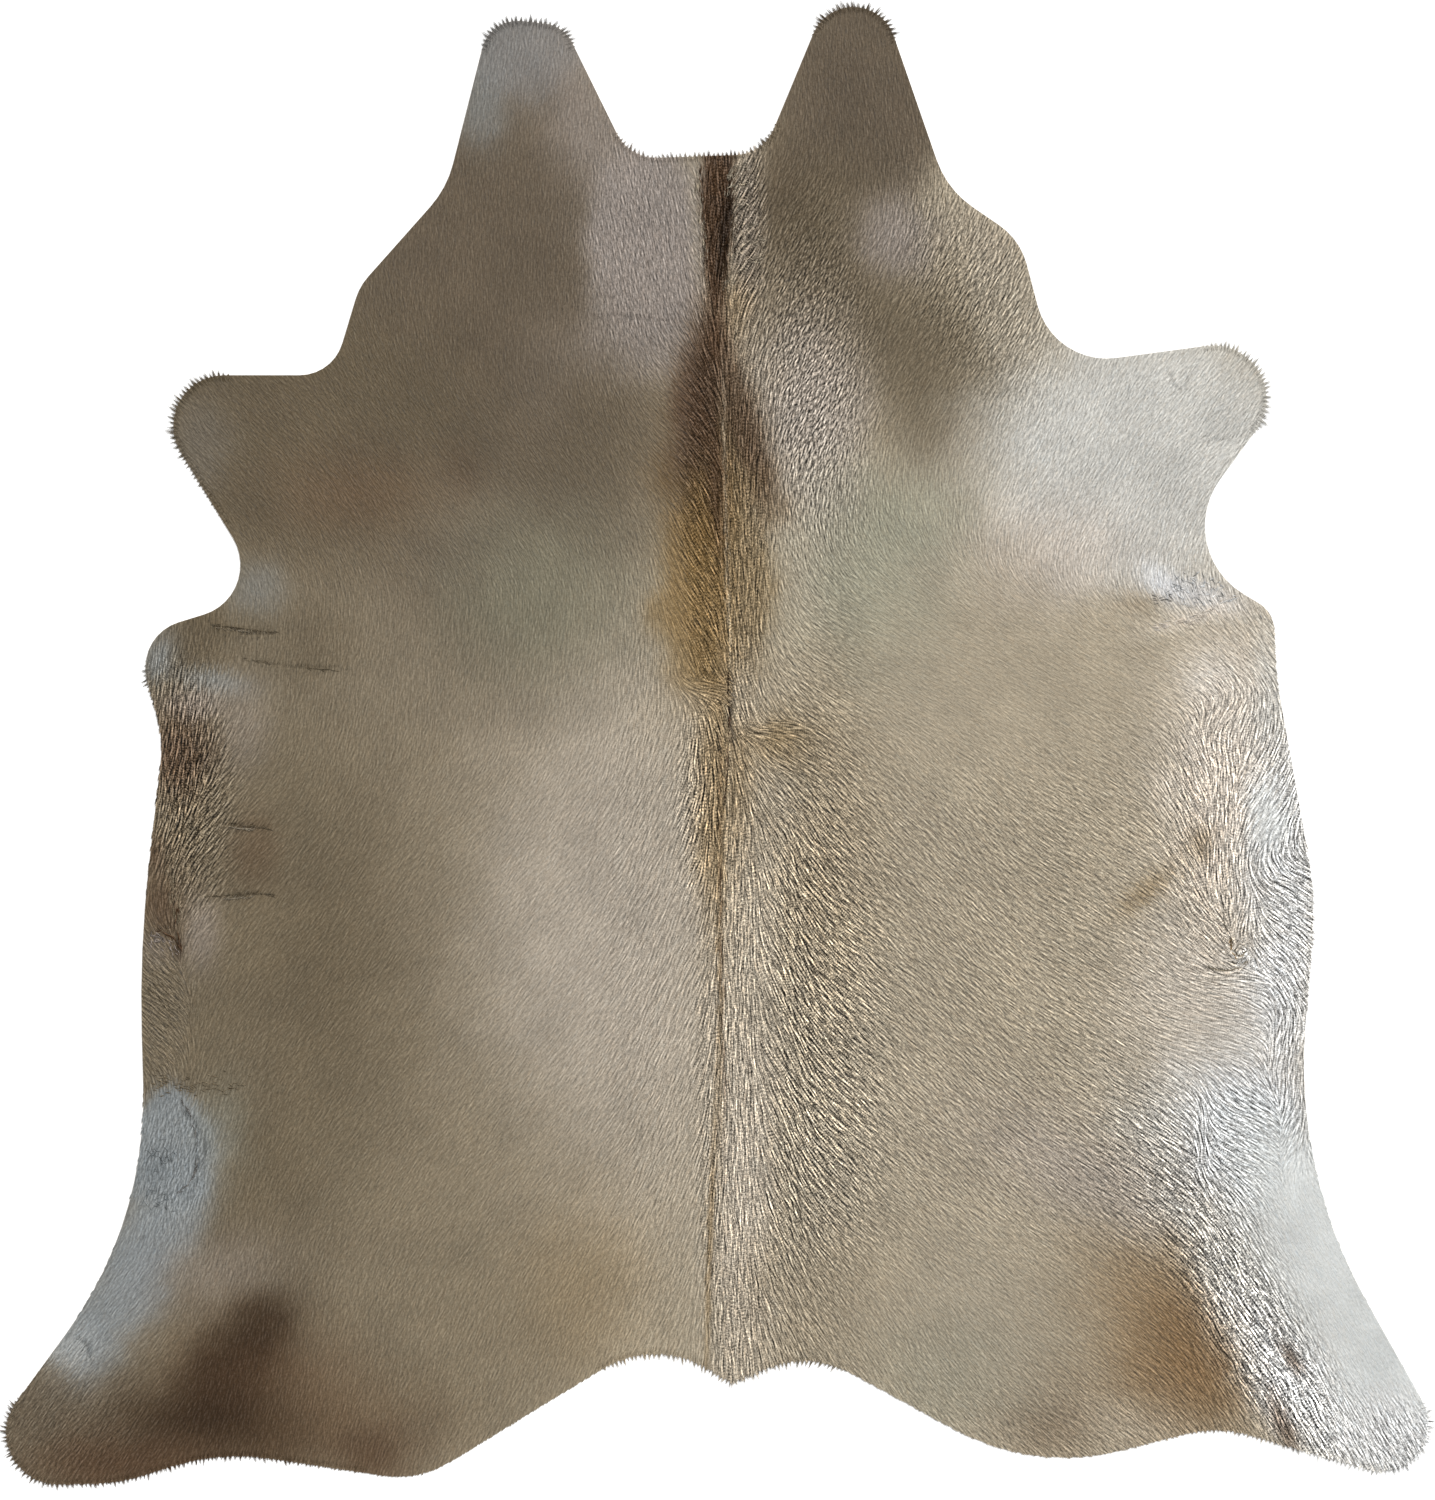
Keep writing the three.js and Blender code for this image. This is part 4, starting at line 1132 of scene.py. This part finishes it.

# %% [markdown]
# Where two streams of hair meet, where the skin is creased and where a whorl turns, the eye
# finds thin dark gaps and single pale strands beside them. Ovals are too soft for these, so
# each gets a row of its own: a line with a start, an end and a bow, along which thin strands
# lie end to end over the rest of the coat, a little uneven so that nothing looks ruled. The dark
# strands are painted shade of the gaps, creases and folds, with the darker underhair that
# shows in them.

# %% Single strands along seams, creases and whorls
STRAND_PITCH = 0.0046
STRAND_LENGTH = 0.0115
STRAND_WIDTH = 0.0020
STRAND_LIFT = 0.0021
STRAND_LENGTHS, STRAND_LIFTS = (0.5, 1.2), (0.7, 1.3)      # what chance makes of them
STRAND_BEND = 0.12
STRAND_CONTRAST = 0.30
STRAND_INSET = 0.003             # no strand lies nearer to the cut edge than this
STRANDS = table("place start end tone bow width abreast spread stray", [
    ("meeting, gap", (0.0158, 0.112), (0.0166, 0.052), "dark umber", -0.01, 1.3, 4, 0.0004),
    ("meeting, brown gap", (0.0163, 0.06), (0.017, 0.014), "brown", 0, 1, 3, 0.0005),
    ("meeting, pale above", (0.0166, 0.222), (0.0182, 0.112), "straw", 0, 1, 3, 0.0004),
    ("meeting, pale below", (0.018, 0.026), (0.015, -0.066), "straw", 0, 1, 3, 0.0004),
    ("parting, gap", (0.0142, 0.004), (0.0092, -0.074), "brown", 0.03, 1.0, 2, 0.0004),
    ("whorl, ring above", (0.7468, -0.2904), (0.7632, -0.2904), "fawn", 0.5, 1, 2, 0.0004),
    ("whorl, ring below", (0.7632, -0.2904), (0.7468, -0.2904), "fawn", 0.5, 1, 2, 0.0004),
    ("whorl, inner ring", (0.7505, -0.2904), (0.7595, -0.2904), "ivory", 0.5),
    ("whorl, gap", (0.7425, -0.27), (0.7485, -0.302), "honey", -0.1, 1.2, 2, 0.0004),
    ("whorl, gap above", (0.73, -0.248), (0.744, -0.28), "fawn"),
    ("under the whorl, gap", (0.7088, -0.314), (0.765, -0.306), "fawn", -0.17, 1, 2, 0.0004),
    ("under the whorl, pale", (0.7088, -0.318), (0.766, -0.31), "milk", -0.17),
    ("left elbow, upper gap", (-0.7304, 0.1792), (-0.6351, 0.1676), "beige", 0, 0.55, 2, 0.0009),
    ("left elbow, upper pale", (-0.725, 0.1752), (-0.675, 0.1692), "linen", 0, 0.55, 2, 0.0008),
    ("left elbow, lower gap", (-0.6857, 0.13), (-0.6466, 0.1243), "beige", 0, 0.55, 1, 0.0009),
    ("left chest, gap", (-0.5932, 0.117), (-0.5455, 0.1127), "beige", 0, 0.55, 1, 0.0009),
    ("left belly, front gap", (-0.7073, -0.1084), (-0.6409, -0.117), "beige", 0.03, 0.55, 2, 0.0009),
    ("left belly, front pale", (-0.7073, -0.1126), (-0.67, -0.1166), "linen", 0, 0.55, 2, 0.0008),
    ("left belly, rear gap", (-0.7377, -0.2139), (-0.6409, -0.211), "beige", 0.03, 0.55, 2, 0.0009),
    ("left belly, rear pale", (-0.72, -0.2172), (-0.67, -0.214), "linen", 0, 0.55, 2, 0.0008),
    ("left flank, gap", (-0.7796, -0.2225), (-0.7745, -0.2904), "brown", -0.06, 1.3),
    ("left flank, fold", (-0.8128, -0.262), (-0.7745, -0.2904), "brown", 0.14, 1.3),
    ("left flank, pale tuft", (-0.816, -0.27), (-0.781, -0.296), "mauve", 0.14, 1, 2, 0.004, 14),
    ("left flank, pale hem", (-0.815, -0.29), (-0.812, -0.268), "mauve", 0.2, 1, 2, 0.004, 14),
    ("left flank, strands above", (-0.79, -0.17), (-0.778, -0.25), "beige", 0, 1, 3, 0.004),
    ("left flank, rear strands", (-0.83, -0.33), (-0.795, -0.375), "beige", 0, 1, 1, 0.004),
    ("left thigh, rim above", (-0.7724, -0.5072), (-0.7521, -0.5939), "ash", 0.08, 0.7, 1, 0.001, 12),
    ("left thigh, rim below", (-0.7521, -0.5939), (-0.7767, -0.6401), "ash", 0.12, 0.7, 2, 0.001, 12),
    ("left thigh, rim's light", (-0.75, -0.55), (-0.7505, -0.603), "slate", 0, 1, 1, 0.0015),
    ("left thigh, dark curls", (-0.825, -0.588), (-0.79, -0.596), "slate", 0.2, 0.7, 3, 0.01, 45),
    ("left thigh, lower curls", (-0.825, -0.64), (-0.785, -0.652), "slate", -0.2, 0.7, 3, 0.01, 45),
    ("left thigh, top strands", (-0.818, -0.48), (-0.675, -0.487), "beige", 0, 1, 2, 0.008, 10),
    ("right elbow, fold", (0.7304, 0.211), (0.77, 0.2262), "white"),
    ("right elbow, second fold", (0.744, 0.22), (0.764, 0.229), "white"),
    ("right elbow, pale fold", (0.63, 0.176), (0.73, 0.209), "milk", -0.05, 1, 2, 0.003),
    ("right elbow, shadow", (0.63, 0.217), (0.656, 0.215), "ash", 0, 0.7, 2, 0.003, 20),
    ("right elbow, dark curls", (0.65, 0.236), (0.73, 0.24), "slate", -0.1, 0.65, 1, 0.012, 45),
    ("right elbow, pale curls", (0.65, 0.233), (0.735, 0.244), "white", -0.1, 1, 3, 0.012, 45),
    ("right elbow, tip", (0.788, 0.196), (0.802, 0.172), "white", 0.1, 1, 2, 0.003),
    ("mane, pale left rim", (-0.031, 0.837), (-0.018, 0.71), "linen", 0, 1, 2, 0.003),
    ("mane, dark left rim", (-0.024, 0.85), (-0.013, 0.69), "brown", 0, 1, 1, 0.003),
    ("curl, first", (0.03, 0.845), (0.019, 0.813), "fawn", -0.15, 1, 3, 0.004, 14),
    ("curl, second", (0.044, 0.815), (0.018, 0.798), "fawn", -0.25, 1, 3, 0.004, 14),
    ("curl, third", (0.05, 0.79), (0.026, 0.775), "linen", -0.25, 1, 3, 0.004, 14),
    ("curl, fourth", (0.058, 0.756), (0.033, 0.733), "fawn", -0.2, 1, 3, 0.004, 14),
    ("curl, fifth", (0.069, 0.738), (0.019, 0.704), "linen", -0.15, 1, 3, 0.004, 14),
    ("curl, sixth", (0.064, 0.708), (0.013, 0.664), "fawn", -0.15, 1, 3, 0.004, 14),
    ("curls, gaps", (0.042, 0.8), (0.023, 0.71), "brown", -0.1, 1, 2, 0.006),
], bow=0, width=1, abreast=1, spread=0.0006, stray=5)


def along_bow(row, t):
    """Places along a row's line, and the line's heading there."""
    start, end = np.array(row["start"]), np.array(row["end"])
    run = end - start
    left = np.array([-run[1], run[0]])
    places = start + t[:, None] * run + (4 * row["bow"] * t * (1 - t))[:, None] * left
    ahead = run + (4 * row["bow"] * (1 - 2 * t))[:, None] * left
    return places, np.arctan2(ahead[:, 1], ahead[:, 0])


def single_strands():
    """One piece with the strands of every row, scattered along its line."""
    random = np.random.default_rng(51)
    roots, headings, widths, colours = [], [], [], []
    for row in STRANDS:
        run = np.linalg.norm(np.subtract(row["end"], row["start"])) * (1 + 2 * row["bow"] ** 2)
        count = math.ceil(run / STRAND_PITCH) * row["abreast"]
        place, heading = along_bow(row, random.uniform(0, 1, count))
        aside = row["spread"] * random.normal(size=count)
        place = place + np.stack([-np.sin(heading), np.cos(heading)], axis=1) * aside[:, None]
        roots.append(place)
        stray = math.radians(row["stray"])
        headings.append(heading + stray * random.normal(size=count))
        widths.append(np.full(count, STRAND_WIDTH * row["width"]))
        colours.append(lit(np.array([TONES[row["tone"]]] * count, float)))
    root, heading, width = np.concatenate(roots), np.concatenate(headings), np.concatenate(widths)
    colour = np.concatenate(colours)
    inside = depth_inside(*root.T) > STRAND_INSET + STRAND_LENGTH / 2
    root, heading, width, colour = root[inside], heading[inside], width[inside], colour[inside]
    length = STRAND_LENGTH * random.uniform(*STRAND_LENGTHS, len(root))
    root = root - 0.5 * length[:, None] * np.stack([np.cos(heading), np.sin(heading)], axis=1)
    lift = STRAND_LIFT * random.uniform(*STRAND_LIFTS, len(root))
    bends = STRAND_BEND * random.normal(size=len(root))
    corners = lock_corners(root, heading, length, width, lift, bends)
    marks = comb_marks(root, heading)
    contrast = np.full(len(root), STRAND_CONTRAST)
    return joined_locks("single_strands", corners, lock_tones(colour, random, contrast, 5), marks)


coat_pieces.append(single_strands())

# %% [markdown]
# The finishes are procedural. Colour comes from each corner's tint, which was worked out above,
# and the nodes add what is finer than a lock: streaks along single hairs, partly their own
# uneven colour and partly painted highlight and shade, a painted sheen on the bright streaks,
# an uneven gloss and a little roughness of the surface. One small class wraps a socket, so that
# node maths reads as ordinary sums, and one method makes any node from its type, settings and
# inputs.

# %% Nodes as Python expressions
class Signal:
    """What runs along one wire of a finish, with Python's operators for its maths."""

    def __init__(self, finish, socket):
        self.finish = finish
        self.socket = socket

    def maths(self, operation, first, second):
        return self.finish.add("ShaderNodeMath", {"operation": operation}, {0: first, 1: second})

    def __add__(self, other):
        return self.maths("ADD", self, other)

    def __mul__(self, other):
        return self.maths("MULTIPLY", self, other)

    def __sub__(self, other):
        return self.maths("SUBTRACT", self, other)

    def __rsub__(self, other):
        return self.maths("SUBTRACT", other, self)

    __radd__ = __add__
    __rmul__ = __mul__


class Finish:
    """One material, built node by node."""

    def __init__(self, name):
        self.material = bpy.data.materials.new(name)
        self.material.use_nodes = True
        self.tree = self.material.node_tree
        self.tree.nodes.clear()

    def add(self, kind, settings, inputs, output=0):
        """Makes a node: first its settings, then the values or wires of its sockets."""
        node = self.tree.nodes.new(kind)
        for key, value in settings.items():
            setattr(node, key, value)
        for key, value in inputs.items():
            if isinstance(value, Signal):
                self.tree.links.new(value.socket, node.inputs[key])
            else:
                node.inputs[key].default_value = value
        return Signal(self, node.outputs[output]) if len(node.outputs) else node

    def noise(self, scale, detail=2.0, roughness=0.5, stretch=(1, 1, 1)):
        """Noise on the object's own coordinates, in grains per metre."""
        place = self.add("ShaderNodeTexCoord", {}, {}, output="Object")
        place = self.add("ShaderNodeMapping", {}, {"Vector": place, "Scale": stretch})
        inputs = {"Vector": place, "Scale": scale, "Detail": detail, "Roughness": roughness}
        return self.add("ShaderNodeTexNoise", {}, inputs, output="Fac")

    def strokes(self, grain):
        """Thin light and dark strokes along the combing, partly the hairs' own streaks and partly
        painted highlight and shade: noise averaged over steps along it.
        """
        place = self.add("ShaderNodeTexCoord", {}, {}, output="Object")
        combed = self.add("ShaderNodeAttribute", {"attribute_name": "combed"}, {}, output="Vector")
        turned = (0, 0, STROKE_TURN)
        place, combed = [self.add("ShaderNodeMapping", {}, {"Vector": wire, "Rotation": turned})
                         for wire in (place, combed)]
        settings = {"noise_dimensions": "2D"}
        total = 0.0
        for k in range(-STROKE_STEPS, STROKE_STEPS + 1):
            step = STROKE_REACH * (k + STEP_STRAY * math.sin(STEP_TURN * k)) / STROKE_STEPS
            sample = self.add("ShaderNodeVectorMath", {"operation": "MULTIPLY_ADD"},
                              {0: combed, 1: (step, step, 0.0), 2: place})
            inputs = {"Vector": sample, "Scale": grain, "Detail": 0.0}
            total = total + self.add("ShaderNodeTexNoise", settings, inputs, output="Fac")
        return total * (1 / (2 * STROKE_STEPS + 1)) - 0.5

    def contrast(self):
        """How lively the coat is here, from the combing's third number."""
        combed = self.add("ShaderNodeAttribute", {"attribute_name": "combed"}, {}, output="Vector")
        return self.add("ShaderNodeSeparateXYZ", {}, {0: combed}, output="Z")

    def brightness(self, swing):
        """A swing around nothing as a factor of light, even to both sides as a screen shows it."""
        inputs = {0: 1 + swing * (1 / SCREEN), 1: DIMMEST}
        above = self.add("ShaderNodeMath", {"operation": "MAXIMUM"}, inputs)
        return self.add("ShaderNodeMath", {"operation": "POWER"}, {0: above, 1: SCREEN})

    def shaded(self, colour, brightness):
        """The colour times a brightness."""
        settings = {"data_type": "RGBA", "blend_type": "MULTIPLY"}
        return self.add("ShaderNodeMix", settings, {0: 1.0, 6: colour, 7: brightness}, output=2)

    def mixed(self, share, first, second):
        """The first colour, with a share of the second."""
        inputs = {0: share, 6: first, 7: second}
        return self.add("ShaderNodeMix", {"data_type": "RGBA"}, inputs, output=2)

    def bump(self, height, depth):
        """Surface normals that follow a height."""
        return self.add("ShaderNodeBump", {}, {"Height": height, "Distance": depth, "Strength": 1.0})

    def close(self, **inputs):
        """Ends in a principled shader and returns the material."""
        inputs = {key.replace("_", " "): value for key, value in inputs.items()}
        shader = self.add("ShaderNodeBsdfPrincipled", {}, inputs)
        self.add("ShaderNodeOutputMaterial", {}, {"Surface": shader})
        return self.material


print("a finish can", *[name for name in vars(Finish) if not name.startswith("_")])

# %% Finish of the hair and of the underhair
STROKE_STEPS = 5
STROKE_GRAIN = 390
STROKE_REACH = 0.34              # of the hair's length, how far a stroke runs each way
STROKE_GAIN = 33.0
STEP_STRAY, STEP_TURN = 0.25, 2.1            # so that the samples lie at uneven steps
DIMMEST = 0.15                   # share of its light that the darkest stroke keeps
PATCHINESS = 240
MOTTLE = 0.30
# painted sheen: the share by which the bright strokes are mixed towards a pale colour
SHEEN = 0.07
PALE_SHEEN = (0.62, 0.61, 0.58, 1)
STROKE_TURN = math.radians(-13)  # so that no stream of hair runs along the noise's own rows


def hair_finish(name, depth, gloss):
    """Tint, brightened and darkened by strokes that are partly the hairs' own streaks and partly painted
    highlight and shade, with a painted sheen on the bright strokes, over a slightly uneven surface.
    """
    finish = Finish(name)
    tint = finish.add("ShaderNodeAttribute", {"attribute_name": "tint"}, {}, output="Color")
    stroke = finish.strokes(STROKE_GRAIN)
    patchy = finish.noise(PATCHINESS)
    swing = stroke * finish.contrast() * STROKE_GAIN + (patchy - 0.5) * MOTTLE
    colour = finish.shaded(tint, finish.brightness(swing))
    # painted sheen on the bright strokes
    colour = finish.mixed(swing * SHEEN, colour, PALE_SHEEN)
    return finish.close(Base_Color=colour, Roughness=0.46 + 0.6 * stroke + 0.16 * patchy,
                        Normal=finish.bump(patchy, depth), Specular_IOR_Level=gloss)


print("a stroke averages", 2 * STROKE_STEPS + 1, "samples of the noise")

# %% Finish of the suede and of the floor
FIBRES, STAINS, VEINS = 900, 7, 38           # grains per metre
VEIN_STRETCH = (1.0, 0.35, 1.0)
SUEDE_PALE, SUEDE_WARM = (0.56, 0.47, 0.36, 1), (0.40, 0.31, 0.22, 1)
FLOOR_PALE, FLOOR_WARM = (0.90, 0.90, 0.90, 1), (0.92, 0.92, 0.915, 1)


def suede_finish():
    """Matt fibres with soft stains and long veins, as on the flesh side of a hide."""
    finish = Finish("suede")
    fibre = finish.noise(FIBRES, 4.0, 0.7)
    stain = finish.noise(STAINS, 4.0, 0.6)
    vein = finish.noise(VEINS, 3.0, 0.6, VEIN_STRETCH)
    colour = finish.mixed(stain * 0.9 + vein * 0.3 - 0.2, SUEDE_PALE, SUEDE_WARM)
    colour = finish.shaded(colour, 0.82 + 0.36 * fibre)
    return finish.close(Base_Color=colour, Roughness=0.86 + 0.1 * vein,
                        Normal=finish.bump(fibre + 0.8 * vein, 0.0005), Specular_IOR_Level=0.15,
                        Sheen_Weight=0.25)


def floor_finish():
    """Almost white and matt, a little uneven."""
    finish = Finish("pale_floor")
    colour = finish.mixed(finish.noise(3), FLOOR_PALE, FLOOR_WARM)
    return finish.close(Base_Color=colour, Roughness=0.9, Specular_IOR_Level=0.1)


print("suede with", FIBRES, "fibres and", VEINS, "veins for each metre")

# %% Give each piece its finish
UNDERHAIR_BUMP, HAIR_BUMP = 0.0006, 0.0004
UNDERHAIR_GLOSS, HAIR_GLOSS = 0.10, 0.13


def tint_skin():
    """The underhair takes the coat's colour at each corner of the skin."""
    mesh = skin.data
    places = np.empty(3 * len(mesh.vertices), np.float32)
    mesh.vertices.foreach_get("co", places)
    x, y = places.reshape(-1, 3)[:, :2].T.astype(float)
    rgba = np.column_stack([coat_colour(x, y), np.ones(len(x))])
    add_marks(mesh, rgba, comb_marks(np.stack([x, y], axis=1), hair_heading(x, y)))


tint_skin()
skin.data.materials.append(hair_finish("underhair", UNDERHAIR_BUMP, UNDERHAIR_GLOSS))
skin.data.materials.append(suede_finish())
hair = hair_finish("cow_hair", HAIR_BUMP, HAIR_GLOSS)
for piece in coat_pieces:
    piece.data.materials.append(hair)
floor.data.materials.append(floor_finish())
print("finishes:", [material.name for material in bpy.data.materials])

# %% [markdown]
# Last, each piece is told what it belongs to. The whole rug is one body, so everything rides on
# its root. The skin stands for the packed hide, which is hidden; it is a sheet, cut flat and
# lying on the floor.

HIDE_WIDTH, HIDE_LENGTH = edge.max(axis=0) - edge.min(axis=0)
for piece in [skin] + coat_pieces:
    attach(piece, "root")
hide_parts("hide")
